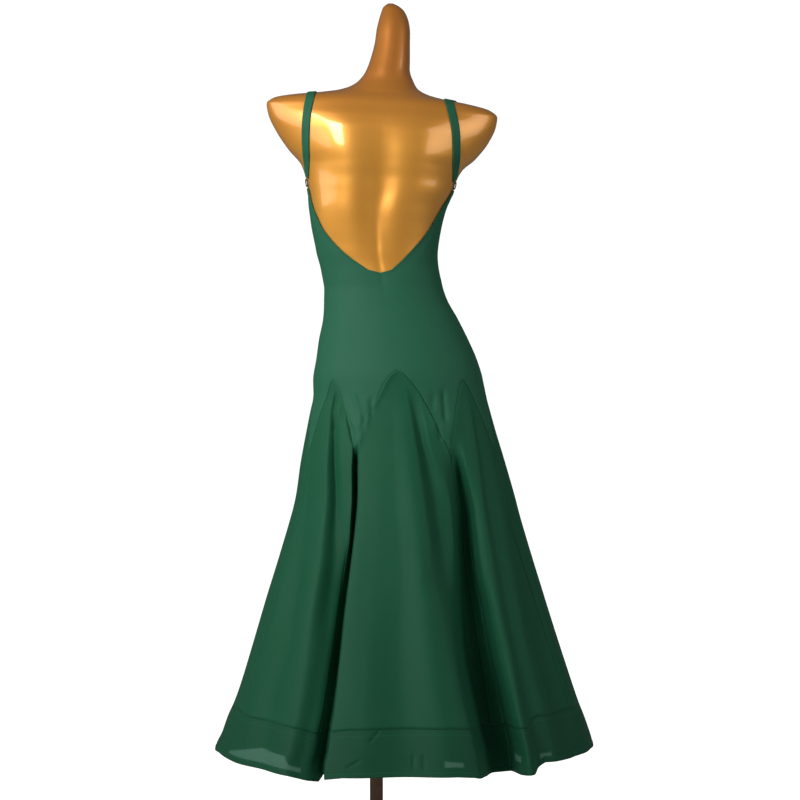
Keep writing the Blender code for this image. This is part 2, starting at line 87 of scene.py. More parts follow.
POLE_RADIUS = 0.0125
FOOT_RADIUS = 0.1700
FOOT_THICK = 0.0120
HUB_RADIUS = 0.0230
HUB_TOP = 0.0550
SOCKET_FLOOR = 0.0150
SOCKET_GAP = 0.0003
FOOT_EDGE = 0.0030
WELD = 0.00001


class Level(NamedTuple):
    """The height of an edge at a turn."""

    turn: float
    height: float


HEM_LEVELS = [Level(*row) for row in [
    (0.0, 0.274), (18.0, 0.273), (23.6, 0.269), (25.5, 0.256), (30.0, 0.261), (36.0, 0.269), (45.0, 0.2735),
    (60.0, 0.278), (75.0, 0.285), (90.0, 0.281), (180.0, 0.276), (240.0, 0.28), (270.0, 0.289),
    (285.0, 0.292), (300.0, 0.285), (313.0, 0.285), (317.0, 0.276), (319.5, 0.269), (328.0, 0.265),
    (334.0, 0.264), (340.0, 0.272), (345.0, 0.2745),
]]
NECKLINE = [Level(*row) for row in [
    (0.0, 1.181), (10.5, 1.1866), (23.5, 1.2054), (35.0, 1.2242), (45.5, 1.243), (55.0, 1.2628),
    (62.0, 1.2822), (69.0, 1.3013), (74.0, 1.3206), (CORNER_INNER, BACK_CORNER),
]]


class Section(NamedTuple):
    """A level cut of the form or the skirt: its centre, half width and depths from the centre."""

    height: float
    centre_x: float
    centre_y: float
    half_width: float
    front: float
    back: float
    squareness: float = 2.0
    tilt: float = 0.0


FORM = [Section(*row) for row in [
    (0.86, -0.0448, 0.01, 0.145, 0.088, 0.092, 2.1),
    (0.9, -0.0448, 0.01, 0.155, 0.094, 0.104, 2.1),
    (0.9425, -0.0448, 0.006, 0.16, 0.098, 0.112, 2.1),
    (0.9805, -0.041, 0.004, 0.1572, 0.099, 0.1125, 2.1),
    (1.0185, -0.0382, 0.002, 0.1486, 0.098, 0.1065, 2.1),
    (1.0565, -0.0325, 0.0, 0.1377, 0.096, 0.097, 2.1),
    (1.0945, -0.0268, -0.002, 0.1244, 0.092, 0.086, 2.1),
    (1.1325, -0.0173, -0.004, 0.113, 0.088, 0.077, 2.1),
    (1.161, -0.0125, -0.005, 0.1086, 0.086, 0.073, 2.1),
    (1.1895, -0.0068, -0.005, 0.1082, 0.087, 0.073, 2.1),
    (1.2275, -0.0011, -0.004, 0.112, 0.091, 0.077, 2.1),
    (1.2655, -0.0002, -0.002, 0.1187, 0.098, 0.083, 2.1),
    (1.3035, -0.0021, 0.0, 0.1263, 0.104, 0.089, 2.1, 0.3),
    (1.3396, -0.0078, 0.0, 0.1377, 0.107, 0.094, 2.05, 0.8),
    (1.3586, -0.0086, 0.0, 0.1424, 0.106, 0.096, 2.0, 1.3),
    (1.3833, -0.01, 0.001, 0.153, 0.103, 0.099, 1.9, 2.2),
    (1.408, -0.0106, 0.002, 0.1775, 0.097, 0.1, 1.8, 3.0),
    (1.444, -0.0106, 0.003, 0.2035, 0.087, 0.098, 1.75, 3.5),
    (1.4726, -0.0106, 0.005, 0.2165, 0.073, 0.087, 1.75, 3.5),
    (1.4916, -0.0106, 0.006, 0.2195, 0.06, 0.075, 1.75, 3.5),
    (1.504, -0.0106, 0.007, 0.205, 0.054, 0.068, 1.75, 3.5),
    (1.512, -0.0106, 0.008, 0.17, 0.05, 0.061, 1.75, 3.5),
    (1.5195, -0.0106, 0.008, 0.116, 0.046, 0.054, 1.8, 3.5),
    (1.5258, -0.0125, 0.008, 0.085, 0.044, 0.05, 1.85, 3.3),
    (1.5353, -0.0155, 0.006, 0.0635, 0.043, 0.046, 1.95, 3.0),
    (1.5486, -0.0192, 0.002, 0.0513, 0.042, 0.043, 2.0, 2.0),
    (1.5676, -0.022, -0.002, 0.0418, 0.041, 0.041, 2.0, 1.0),
    (1.5885, -0.0258, -0.006, 0.038, 0.038, 0.038),
    (1.6265, -0.0306, -0.014, 0.0333, 0.034, 0.034),
    (1.6455, -0.0318, -0.018, 0.0322, 0.032, 0.032),
    (1.6645, -0.0325, -0.021, 0.0288, 0.028, 0.028),
    (1.6835, -0.0315, -0.024, 0.0222, 0.021, 0.021),
    (1.693, -0.0285, -0.025, 0.0155, 0.015, 0.015),
    (1.699, -0.027, -0.025, 0.006, 0.006, 0.006),
]]
SKIRT = [Section(*row) for row in [
    (0.26, -0.0534, 0.0, 0.361, 0.353, 0.359),
    (0.278, -0.0534, 0.0, 0.359, 0.346, 0.352),
    (0.287, -0.0534, 0.0, 0.358, 0.342, 0.348),
    (0.3155, -0.0562, 0.0, 0.348, 0.33, 0.336),
    (0.344, -0.0562, 0.0, 0.338, 0.318, 0.324),
    (0.3725, -0.057, 0.0, 0.326, 0.306, 0.311),
    (0.401, -0.0572, 0.0, 0.316, 0.294, 0.299),
    (0.4865, -0.0562, 0.0, 0.289, 0.262, 0.266),
    (0.572, -0.0553, 0.0, 0.263, 0.23, 0.235),
    (0.6575, -0.0553, 0.002, 0.2366, 0.198, 0.206),
    (0.743, -0.0553, 0.004, 0.212, 0.168, 0.18),
    (0.8285, -0.05, 0.008, 0.193, 0.138, 0.15, 2.02),
    (0.8855, -0.0467, 0.01, 0.179, 0.118, 0.13, 2.05),
    (0.9235, -0.0452, 0.008, 0.17, 0.106, 0.12, 2.1),
    (0.9425, -0.0448, 0.006, 0.1655, 0.103, 0.118, 2.1),
    (0.9805, -0.041, 0.004, 0.1598, 0.1012, 0.1162, 2.1),
    (1.0185, -0.0382, 0.002, 0.1512, 0.1002, 0.1092, 2.1),
    (1.0565, -0.0325, 0.0, 0.1399, 0.0982, 0.0992, 2.1),
]]
SKIRT_ONLY = 0.9300
FORM_ONLY = 0.9900


class Relief(NamedTuple):
    """A soft rise or hollow of the form, at both sides of its middle."""

    name: str
    faces: int
    across: float
    height: float
    spread_across: float
    spread_height: float
    rise: float


BACK, FRONT = 1, -1
RELIEFS = [
    Relief("spine furrow", BACK, 0.000, 1.330, 0.031, 0.100, -0.0145),
    Relief("spine line", BACK, 0.000, 1.225, 0.0065, 0.060, -0.0020),
    Relief("shoulder blade", BACK, 0.078, 1.415, 0.040, 0.078, 0.0070),
    Relief("bust", FRONT, 0.064, 1.315, 0.052, 0.054, 0.0150),
]


class Godet(NamedTuple):
    """A pointed skirt panel, from its first seam to its last, with its point at the middle."""

    name: str
    first: float
    middle: float
    last: float
    apex: float
    columns: int
    rows: int


GODETS = [
    Godet("godet_back", -27.5, 0.0, 27.5, 0.9965, 150, 150),
    Godet("godet_back_left", 27.5, 48.25, 69.0, 0.9800, 120, 150),
    Godet("godet_left", 69.0, 90.0, 111.0, 0.9580, 80, 100),
    Godet("godet_front_left", 111.0, 131.75, 152.5, 0.9800, 80, 100),
    Godet("godet_front", 152.5, 180.0, 207.5, 0.9965, 100, 100),
    Godet("godet_front_right", 207.5, 228.25, 249.0, 0.9800, 80, 100),
    Godet("godet_right", 249.0, 270.0, 291.0, 0.9580, 80, 100),
    Godet("godet_back_right", 291.0, 311.75, 332.5, 0.9800, 120, 150),
]


class Fold(NamedTuple):
    """A valley of the skirt. It starts at a height and is deepest at the hem.

    Before and after are its half widths towards smaller and larger turns, and slide carries
    its bottom round, so that it runs in behind the crest beside it.
    """

    name: str
    start: float
    turn: float
    before: float
    after: float
    depth: float
    slide: float


FOLDS = [
    Fold("side left, front seam", 0.880, 111.0, 8.0, 10.0, 0.062, 2.0),
    Fold("front left trough", 0.900, 132.0, 8.0, 8.0, 0.020, 0.0),
    Fold("front left seam", 0.900, 152.5, 11.0, 6.0, 0.090, 3.0),
    Fold("centre front trough", 0.930, 183.0, 13.0, 12.0, 0.014, 0.0),
    Fold("front right seam", 0.900, 207.5, 6.0, 11.0, 0.078, -3.0),
    Fold("front right trough", 0.900, 230.0, 8.0, 9.0, 0.016, 0.0),
    Fold("side right, front seam", 0.880, 249.0, 10.0, 8.0, 0.070, -2.0),
]


class Course(NamedTuple):
    """Where a line of the drape lies at a height, and how far in the cloth goes there."""

    height: float
    turn: float
    depth: float


class Line(NamedTuple):
    """A crest, a trough or the middle of a slope, followed down the back of the skirt."""

    name: str
    course: tuple


def drape_line(name, *rows):
    """A line of the drape, from its rows of height, turn and depth."""
    return Line(name, tuple(Course(*row) for row in rows))


DRAPE = [
    drape_line("right side", (0.24, -84.0, 0.0), (0.98, -84.0, 0.0)),
    drape_line(
        "right edge crest",
        (0.24, -70.0, -0.002), (0.438, -73.0, -0.002), (0.614, -75.0, -0.001), (0.8, -79.0, 0.0),
        (0.98, -81.0, 0.0),
    ),
    drape_line(
        "right trough",
        (0.24, -61.0, 0.004), (0.372, -60.5, 0.013), (0.494, -60.5, 0.017), (0.6, -63.0, 0.016),
        (0.666, -65.0, 0.014), (0.754, -70.0, 0.008), (0.84, -76.0, 0.002), (0.9, -78.0, 0.0),
    ),
    drape_line(
        "right panel crest",
        (0.24, -52.0, 0.006), (0.487, -51.0, 0.002), (0.62, -54.0, 0.001), (0.75, -60.0, 0.0),
        (0.9, -66.0, 0.0),
    ),
    drape_line(
        "foot of the flute",
        (0.24, -44.0, 0.026), (0.34, -43.5, 0.014), (0.487, -44.0, 0.006), (0.62, -45.5, 0.004),
        (0.76, -47.0, 0.003), (0.86, -51.0, 0.002), (0.96, -55.0, 0.0),
    ),
    drape_line(
        "flute crest",
        (0.24, -39.8, -0.003), (0.338, -39.0, -0.003), (0.396, -39.5, -0.002), (0.487, -40.5, -0.001),
        (0.562, -40.2, -0.001), (0.67, -41.8, -0.001), (0.756, -43.0, -0.001), (0.854, -47.5, -0.001),
        (0.96, -50.0, 0.0),
    ),
    drape_line(
        "flute slope",
        (0.24, -36.4, 0.024), (0.37, -35.9, 0.024), (0.487, -35.5, 0.022), (0.56, -35.4, 0.02),
        (0.62, -35.1, 0.016), (0.7, -36.3, 0.012), (0.745, -37.3, 0.01), (0.8, -36.8, 0.006),
        (0.845, -37.7, 0.002), (0.96, -45.0, 0.0),
    ),
    drape_line(
        "valley floor",
        (0.24, -32.2, 0.108), (0.37, -32.0, 0.108), (0.487, -31.0, 0.094), (0.56, -31.1, 0.088),
        (0.62, -30.5, 0.08), (0.7, -31.7, 0.068), (0.745, -32.7, 0.058), (0.8, -32.1, 0.04),
        (0.845, -31.0, 0.013), (0.89, -30.0, 0.0),
    ),
    drape_line(
        "dark valley",
        (0.24, -27.0, 0.112), (0.37, -24.4, 0.112), (0.487, -23.0, 0.098), (0.56, -24.0, 0.082),
        (0.62, -25.0, 0.068), (0.7, -26.5, 0.054), (0.745, -28.0, 0.046), (0.8, -28.5, 0.031),
        (0.845, -28.5, 0.01), (0.89, -28.0, 0.0),
    ),
    drape_line(
        "centre roll",
        (0.24, -24.2, 0.045), (0.37, -21.7, 0.045), (0.487, -19.9, 0.042), (0.56, -20.4, 0.04),
        (0.62, -21.0, 0.034), (0.7, -22.5, 0.029), (0.745, -22.6, 0.024), (0.8, -20.6, 0.015),
        (0.845, -17.0, 0.008), (0.9, -15.0, 0.002), (0.945, -13.0, 0.0),
    ),
    drape_line(
        "right crease",
        (0.24, -22.3, 0.004), (0.37, -19.3, 0.004), (0.42, -18.2, 0.007), (0.487, -17.7, 0.012),
        (0.56, -18.2, 0.02), (0.62, -17.2, 0.024), (0.7, -16.7, 0.026), (0.745, -15.7, 0.026),
        (0.8, -14.2, 0.023), (0.845, -12.3, 0.018), (0.9, -9.8, 0.011), (0.965, -5.5, 0.0),
    ),
    drape_line(
        "centre shoulder",
        (0.24, -18.7, -0.001), (0.37, -16.3, -0.001), (0.487, -14.2, 0.001), (0.56, -13.4, 0.002),
        (0.62, -11.0, 0.002), (0.7, -10.2, 0.001), (0.745, -9.0, 0.001), (0.8, -8.4, 0.001),
        (0.845, -7.7, 0.001), (0.965, -4.0, 0.0),
    ),
    drape_line(
        "centre crest",
        (0.24, -14.6, -0.002), (0.35, -12.7, -0.002), (0.487, -9.7, -0.003), (0.56, -8.9, -0.003),
        (0.62, -7.0, -0.003), (0.7, -6.2, -0.002), (0.745, -4.8, -0.002), (0.845, -3.1, -0.001),
        (0.965, 0.0, 0.0),
    ),
    drape_line(
        "centre hollow",
        (0.24, 0.0, 0.017), (0.35, 1.0, 0.018), (0.42, 2.0, 0.017), (0.487, 2.5, 0.014),
        (0.56, 2.5, 0.01), (0.62, 2.5, 0.008), (0.7, 4.0, 0.006), (0.745, 5.5, 0.005),
        (0.845, 5.5, 0.002), (0.965, 5.0, 0.0),
    ),
    drape_line(
        "centre bulge",
        (0.24, 14.0, -0.003), (0.35, 14.0, -0.004), (0.42, 14.5, -0.003), (0.487, 15.0, -0.002),
        (0.56, 15.0, -0.001), (0.62, 15.0, 0.001), (0.7, 15.0, 0.002), (0.845, 15.0, 0.001),
        (0.965, 15.0, 0.0),
    ),
    drape_line(
        "centre left edge",
        (0.24, 23.1, -0.01), (0.336, 23.5, -0.01), (0.454, 23.9, -0.008), (0.59, 24.1, -0.006),
        (0.664, 24.2, -0.003), (0.758, 24.5, 0.0), (0.86, 24.3, 0.0), (0.965, 24.0, 0.0),
    ),
    drape_line(
        "left valley",
        (0.24, 23.8, 0.076), (0.336, 24.2, 0.074), (0.454, 24.7, 0.076), (0.59, 25.0, 0.069),
        (0.664, 25.1, 0.06), (0.758, 25.9, 0.052), (0.82, 26.4, 0.04), (0.848, 26.4, 0.014),
        (0.866, 26.4, 0.002), (0.885, 26.4, 0.0),
    ),
    drape_line(
        "left ridge",
        (0.24, 25.8, 0.054), (0.35, 26.2, 0.055), (0.42, 26.3, 0.06), (0.487, 26.5, 0.064),
        (0.56, 26.6, 0.062), (0.6, 26.6, 0.054), (0.648, 26.8, 0.042), (0.69, 27.2, 0.028),
        (0.745, 28.4, 0.017), (0.8, 29.0, 0.01), (0.845, 29.2, 0.004), (0.9, 30.0, 0.0),
    ),
    drape_line(
        "left fold",
        (0.24, 28.6, 0.034), (0.35, 28.4, 0.034), (0.42, 28.3, 0.038), (0.487, 27.7, 0.043),
        (0.56, 27.9, 0.044), (0.648, 28.3, 0.036), (0.7, 29.7, 0.026), (0.745, 32.0, 0.017),
        (0.8, 34.3, 0.01), (0.845, 36.5, 0.004), (0.93, 38.0, 0.0),
    ),
    drape_line(
        "left slope",
        (0.24, 31.5, 0.022), (0.35, 31.6, 0.022), (0.42, 31.6, 0.024), (0.487, 31.0, 0.028),
        (0.56, 32.1, 0.03), (0.648, 32.9, 0.028), (0.7, 34.4, 0.026), (0.745, 37.1, 0.023),
        (0.8, 39.8, 0.019), (0.845, 42.0, 0.014), (0.9, 44.5, 0.006), (0.955, 45.8, 0.0),
    ),
    drape_line(
        "left crest",
        (0.24, 37.5, -0.001), (0.35, 38.5, -0.001), (0.487, 41.0, -0.001), (0.62, 42.0, -0.002),
        (0.7, 44.0, -0.002), (0.745, 45.0, -0.002), (0.8, 46.5, -0.002), (0.845, 47.5, -0.002),
        (0.9, 48.5, -0.001), (0.965, 49.5, 0.0),
    ),
    drape_line(
        "left trough",
        (0.24, 45.5, 0.006), (0.35, 50.0, 0.009), (0.42, 53.0, 0.011), (0.487, 51.0, 0.012),
        (0.56, 53.5, 0.012), (0.62, 56.0, 0.01), (0.7, 60.0, 0.006), (0.8, 64.0, 0.003),
        (0.845, 64.0, 0.002), (0.9, 64.0, 0.0),
    ),
    drape_line(
        "left outer crest",
        (0.24, 56.0, 0.0), (0.35, 60.0, 0.0), (0.42, 65.0, 0.0), (0.487, 65.0, 0.0), (0.56, 66.0, 0.0),
        (0.62, 68.0, 0.0), (0.7, 72.0, 0.0), (0.8, 74.0, 0.0), (0.9, 74.0, 0.0),
    ),
    drape_line("left side", (0.24, 80.0, 0.0), (0.98, 80.0, 0.0)),
]

STRAIGHT_IN = 34.0
SQUARE_IN = 56.0


class Crease(NamedTuple):
    """A soft ridge (raised) or trough (sunk) of the cloth, along a course of (height, turn).

    Before and after are its half widths in metres towards smaller and larger turns.
    """

    name: str
    course: tuple
    before: float
    after: float
    rise: float
    fade_top: float
    fade_low: float


GATHERS = (0.010, 0.008)
HEM_PUCKERS = (0.004, 0.004)
CREASES = [
    Crease("left tongue, outer", ((0.906, 37.6), (0.932, 40.4)), 0.005, 0.004, -0.0035, *GATHERS),
    Crease("left tongue, slant", ((0.884, 29.3), (0.922, 36.2)), 0.0045, 0.006, -0.003, *GATHERS),
    Crease("left tongue, tip", ((0.862, 28.4), (0.892, 31.4)), 0.004, 0.0045, -0.003, 0.008, 0.004),
    Crease(
        "left tongue, ridge", ((0.896, 23.3), (0.92, 25.8), (0.958, 31.0)), 0.005, 0.004, 0.0026, *GATHERS
    ),
    Crease("left tongue, inner", ((0.884, 22.8), (0.91, 22.2)), 0.004, 0.005, -0.0035, *GATHERS),
    Crease("centre arch, left", ((0.916, 17.2), (0.944, 17.8)), 0.0035, 0.0045, -0.0039, *GATHERS),
    Crease(
        "left godet edge", ((0.886, 45.5), (0.92, 47.5), (0.952, 46.8)), 0.006, 0.0035, -0.0039, *GATHERS
    ),
    Crease("right tongue, inner", ((0.924, -19.8), (0.954, -21.6)), 0.004, 0.005, -0.0028, *GATHERS),
    Crease("right tongue, outer", ((0.902, -27.8), (0.958, -29.0)), 0.0045, 0.0045, -0.0043, *GATHERS),
    Crease("right tongue, tip", ((0.868, -23.0), (0.898, -21.8)), 0.004, 0.0035, -0.003, 0.006, 0.004),
    Crease("front left, outer", ((0.886, 146.0), (0.93, 142.0)), 0.005, 0.004, -0.0035, *GATHERS),
    Crease("front left, inner", ((0.88, 156.0), (0.918, 160.5)), 0.004, 0.0055, -0.0043, *GATHERS),
    Crease("front right, inner", ((0.884, 204.0), (0.934, 199.0)), 0.005, 0.0045, -0.0039, *GATHERS),
    Crease("front right, outer", ((0.88, 211.0), (0.916, 216.0)), 0.004, 0.005, -0.003, *GATHERS),
    Crease("side left", ((0.88, 115.0), (0.926, 119.0)), 0.005, 0.004, -0.0032, *GATHERS),
    Crease("side right", ((0.878, 246.0), (0.934, 241.0)), 0.004, 0.005, -0.0041, *GATHERS),
    Crease("band pucker, slanting", ((0.334, 10.8), (0.352, 8.5)), 0.003, 0.004, -0.003, *HEM_PUCKERS),
    Crease("hem pucker, slanting", ((0.29, 16.8), (0.303, 13.6)), 0.0035, 0.003, -0.003, *HEM_PUCKERS),
    Crease("hem pucker, first", ((0.288, -2.5), (0.311, -2.0)), 0.0035, 0.0035, -0.0022, *HEM_PUCKERS),
    Crease("hem pucker, second", ((0.288, -5.5), (0.309, -5.0)), 0.003, 0.004, -0.0026, *HEM_PUCKERS),
    Crease("right band dimple", ((0.366, -57.6), (0.392, -58.8)), 0.007, 0.008, -0.005, 0.008, 0.006),
    Crease("front hem pucker", ((0.29, 171.0), (0.312, 172.0)), 0.0035, 0.004, -0.0026, *HEM_PUCKERS),
    Crease("side hem pucker", ((0.296, 262.0), (0.316, 263.5)), 0.003, 0.004, -0.0024, *HEM_PUCKERS),
]

SMOOTH_STEP = 0.001


def even_slope(before, after):
    """The slope at a row between two secants, flat at a crest or trough, so nothing overshoots."""
    same = before * after > 0
    return np.where(same, 2 * before * after / np.where(same, before + after, 1.0), 0.0)


def curve_between(part, start, end, leave, arrive):
    """The smooth way from start to end, leaving and arriving with rises over the whole span."""
    bend = part * part * (3 - 2 * part)
    way = start + (end - start) * bend
    return way + leave * part * (1 - part) ** 2 - arrive * part * part * (1 - part)


def smooth_rows(rows):
    """The rows of a section table, filled in along a curve that never overshoots them."""
    table = np.array(rows, dtype=float)
    heights = table[:, 0]
    secants = np.diff(table, axis=0) / np.diff(heights)[:, None]
    slopes = np.vstack([secants[:1], even_slope(secants[:-1], secants[1:]), secants[-1:]])
    levels = np.arange(heights[0], heights[-1] + SMOOTH_STEP, SMOOTH_STEP)
    levels[-1] = heights[-1]
    index = np.clip(np.searchsorted(heights, levels, side="right") - 1, 0, len(rows) - 2)
    span = (heights[index + 1] - heights[index])[:, None]
    part = (levels - heights[index])[:, None] / span
    leave, arrive = slopes[index] * span, slopes[index + 1] * span
    return curve_between(part, table[index], table[index + 1], leave, arrive)


FORM_CURVES = smooth_rows(FORM)
SKIRT_CURVES = smooth_rows(SKIRT)
DRAPE_CURVES = [smooth_rows(line.course) for line in DRAPE]


def section_at(curves, height):
    """The sections at heights, held at the table's first and last rows beyond them."""
    columns = [np.interp(height, curves[:, 0], curves[:, k]) for k in range(curves.shape[1])]
    return Section(*columns)


def turned(turn, centre):
    """The signed way round from centre to turn, from -180 to 180 degrees."""
    return (turn - centre + 180) % 360 - 180


def signed_power(value, power):
    return np.sign(value) * np.abs(value) ** power


def around(section, turn):
    """How far across and along a section lies at a turn, from its centre."""
    sine, cosine = np.sin(np.radians(turn)), np.cos(np.radians(turn))
    power = 2 / section.squareness
    depth = np.where(cosine > 0, section.back, section.front)
    return signed_power(sine, power) * section.half_width, signed_power(cosine, power) * depth


def form_points(turn, height):
    """Points on the form."""
    section = section_at(FORM_CURVES, height)
    across, along = around(section, turn)
    cosine = np.cos(np.radians(turn))
    for relief in RELIEFS:
        side = (np.abs(across) - relief.across) / relief.spread_across
        level = (height - relief.height) / relief.spread_height
        faces = np.where(cosine * relief.faces > 0, cosine, 0.0)
        along = along + relief.rise * np.exp(-side * side - level * level) * faces
    tilt = np.radians(section.tilt)
    x = section.centre_x + across * np.cos(tilt)
    z = height + across * np.sin(tilt)
    return np.stack([x, section.centre_y + along, z + 0 * x], axis=-1)


def folds_at(turn, height):
    """How far the folds cut in at a turn and height, and how far round they carry the cloth."""
    inward, slide = 0.0, 0.0
    for fold in FOLDS:
        growth = np.maximum((fold.start - height) / (fold.start - HEM), 0.0)
        offset = turned(turn, fold.turn)
        reach = np.minimum(np.abs(offset / np.where(offset > 0, fold.after, fold.before)), 1.0)
        shape = (1 + np.cos(np.pi * reach)) / 2
        inward = inward + fold.depth * growth * shape
        slide = slide + fold.slide * np.minimum(growth * 1.5, 1.0) * shape
    return inward, slide


def drape_at(turn, height):
    """How far in the back's drape goes at a turn and height, curved from line to line."""
    away = turned(turn, 0.0) + 0 * height
    turns = [np.interp(height, curve[:, 0], curve[:, 1]) for curve in DRAPE_CURVES]
    depths = [np.interp(height, curve[:, 0], curve[:, 2]) for curve in DRAPE_CURVES]
    spans = [b - a for a, b in zip(turns, turns[1:])]
    secants = [(b - a) / span for a, b, span in zip(depths, depths[1:], spans)]
    slopes = [0.0, *[even_slope(a, b) for a, b in zip(secants, secants[1:])], 0.0]
    inward = np.zeros(np.shape(away))
    for k, span in enumerate(spans):
        part = (away - turns[k]) / span
        way = curve_between(part, depths[k], depths[k + 1], slopes[k] * span, slopes[k + 1] * span)
        inward = np.where((part >= 0) & (part < 1), way, inward)
    return inward


def smooth_part(value, low, high):
    """0 below low, 1 above high, and a smooth S between them."""
    part = np.clip((value - low) / (high - low), 0.0, 1.0)
    return part * part * (3 - 2 * part)


def creases_at(turn, height, across, along):
    """How far the creases stand out from the folded cloth, at places from a section's centre."""
    metres_a_degree = np.hypot(across, along) * math.pi / 180
    total = np.zeros(np.shape(turn))
    for crease in CREASES:
        heights, turns = zip(*crease.course)
        low, top = heights[0], heights[-1]
        offset = turned(turn, np.interp(height, heights, turns)) * metres_a_degree
        reach = offset / np.where(offset > 0, crease.after, crease.before)
        ends = smooth_part(height, low - crease.fade_low, low + crease.fade_low)
        ends = ends * (1 - smooth_part(height, top - crease.fade_top, top + crease.fade_top))
        total = total + crease.rise * ends * np.exp(-reach * reach)
    return total


def skirt_points(turn, height):
    """Points on the outside of the skirt, with its folds, its drape and its creases."""
    section = section_at(SKIRT_CURVES, height)
    inward, slide = folds_at(turn, height)
    across, along = around(section, turn + slide)
    out_x, out_y = across / section.half_width**2, along / section.back**2
    length = np.hypot(out_x, out_y)
    drape = drape_at(turn, height)
    square = smooth_part(np.abs(turned(turn, 0.0)), STRAIGHT_IN, SQUARE_IN)
    out = creases_at(turn, height, across, along) - inward - square * drape
    x = section.centre_x + across + out * out_x / length
    y = section.centre_y + along + out * out_y / length - (1 - square) * drape
    return np.stack([x, y, height + 0 * x], axis=-1)


def normals_of(surface, turn, height):
    """The outward normals of a surface, from steps of half a degree and one millimetre."""
    round_it = surface(turn + 0.5, height) - surface(turn - 0.5, height)
    up_it = surface(turn, height + 0.001) - surface(turn, height - 0.001)
    normal = np.cross(up_it, round_it)
    return normal / np.linalg.norm(normal, axis=-1, keepdims=True)


def dress_points(turn, height, ease=EASE):
    """The outer face of the dress: on the form above the hips, free of it below."""
    across, along = around(section_at(FORM_CURVES, height), turn)
    off_form = (ease + creases_at(turn, height, across, along))[..., None]
    fitted = form_points(turn, height) + normals_of(form_points, turn, height) * off_form
    part = smooth_part(height, SKIRT_ONLY, FORM_ONLY)[..., None]
    return skirt_points(turn, height) * (1 - part) + fitted * part


def seam_height(turn):
    """The zigzag seam between the bodice and the godets."""
    height = np.full(np.shape(turn), SEAM_VALLEY)
    for godet in GODETS:
        offset = turned(turn, godet.middle)
        half = np.where(offset > 0, godet.last - godet.middle, godet.middle - godet.first)
        part = np.abs(offset) / half
        arch = godet.apex - (godet.apex - SEAM_VALLEY) * np.minimum(part, 1.0) ** ARCH_CURVE
        height = np.where(part <= 1 + 1e-9, arch, height)
    return height


def hem_height(turn):
    turns, heights = zip(*HEM_LEVELS)
    return np.interp(turn, turns, heights, period=360)


def band_top(turn):
    return hem_height(turn) + BAND_DEPTH


def back_top(turn):
    """The top edge of the back: the V, the strap corner, then the armhole."""
    away = np.abs(turned(turn, 0.0))
    part = np.clip((away - CORNER_OUTER) / (SIDE - CORNER_OUTER), 0.0, 1.0)
    armhole = BACK_CORNER + (UNDERARM - BACK_CORNER) * part
    turns, heights = zip(*NECKLINE)
    return np.where(away <= CORNER_INNER, np.interp(away, turns, heights), armhole)


def front_top(turn):
    """The top edge of the front: the armhole, the strap corner, then a plain scoop."""
    away = np.abs(turned(turn, 0.0))
    part = np.clip((away - SIDE) / (FRONT_STRAP_OUTER - SIDE), 0.0, 1.0)
    armhole = UNDERARM + (FRONT_CORNER - UNDERARM) * part**2
    part = np.clip((180 - away) / (180 - FRONT_STRAP_INNER), 0.0, 1.0)
    scoop = FRONT_NECK + (FRONT_CORNER - FRONT_NECK) * part**2
    return np.where(away <= FRONT_STRAP_INNER, armhole, scoop)


# Making the shells


def add_object(name, data):
    """Adds an object to the scene, at the origin."""
    thing = bpy.data.objects.new(name, data)
    bpy.context.scene.collection.objects.link(thing)
    return thing


def stand_for(piece, node):
    """Has a piece ride in the one body and take the place of a node of the frame."""
    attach(piece, "root")
    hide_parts(node)


def grid_shell(name, points, uv, flip=True, masks=None):
    """A mesh object over a grid of points[row, column], with its UV in metres."""
    rows, columns = points.shape[0] - 1, points.shape[1] - 1
    shape = bmesh.new()
    bmesh.ops.create_grid(shape, x_segments=columns, y_segments=rows, size=0.5)
    if flip:
        bmesh.ops.reverse_faces(shape, faces=shape.faces[:])
    mesh = bpy.data.meshes.new(name)
    shape.to_mesh(mesh)
    shape.free()
    flat = np.empty(len(mesh.vertices) * 3)
    mesh.vertices.foreach_get("co", flat)
    flat = flat.reshape(-1, 3)
    column = np.rint((flat[:, 0] + 0.5) * columns).astype(int)
    row = np.rint((flat[:, 1] + 0.5) * rows).astype(int)
    mesh.vertices.foreach_set("co", points[row, column].ravel())
    corner = np.empty(len(mesh.loops), dtype=int)
    mesh.loops.foreach_get("vertex_index", corner)
    layer = mesh.uv_layers.new(name="cloth")
    layer.data.foreach_set("uv", uv[row, column][corner].ravel())
    for label, values in (masks or {}).items():
        attribute = mesh.attributes.new(label, "FLOAT", "POINT")
        attribute.data.foreach_set("value", values[row, column])
    mesh.shade_smooth()
    mesh.update()
    return add_object(name, mesh)


def thicken(thing, thick):
    """Gives a shell its thickness inwards."""
    wall = thing.modifiers.new("cloth thickness", "SOLIDIFY")
    wall.thickness = thick
    wall.offset = -1.0
    wall.use_rim = True


def lengths(points, axis):
    """Distances run along an axis of a grid of points, from 0."""
    steps = np.linalg.norm(np.diff(points, axis=axis), axis=-1)
    run = np.cumsum(steps, axis=axis)
    return np.concatenate([np.zeros_like(np.take(run, [0], axis=axis)), run], axis=axis)


def level_lengths(points):
    """Distances run along each row of a grid of points as seen from above, from 0."""
    return lengths(points * (1.0, 1.0, 0.0), 1)


def spread(first, last, count):
    """Turns from first to last, an equal length of hem apart."""
    fine = np.linspace(first, last, 1201)
    hem = dress_points(fine, np.full_like(fine, HEM))
    reached = lengths(hem, 0)
    return np.interp(np.linspace(0.0, reached[-1], count + 1), reached, fine)


def seam_dip(distance, depth=0.0005, reach=0.0022):
    """The groove that a seam pulls into the cloth on each side of it."""
    return -depth * np.exp(-((distance / reach) ** 2))


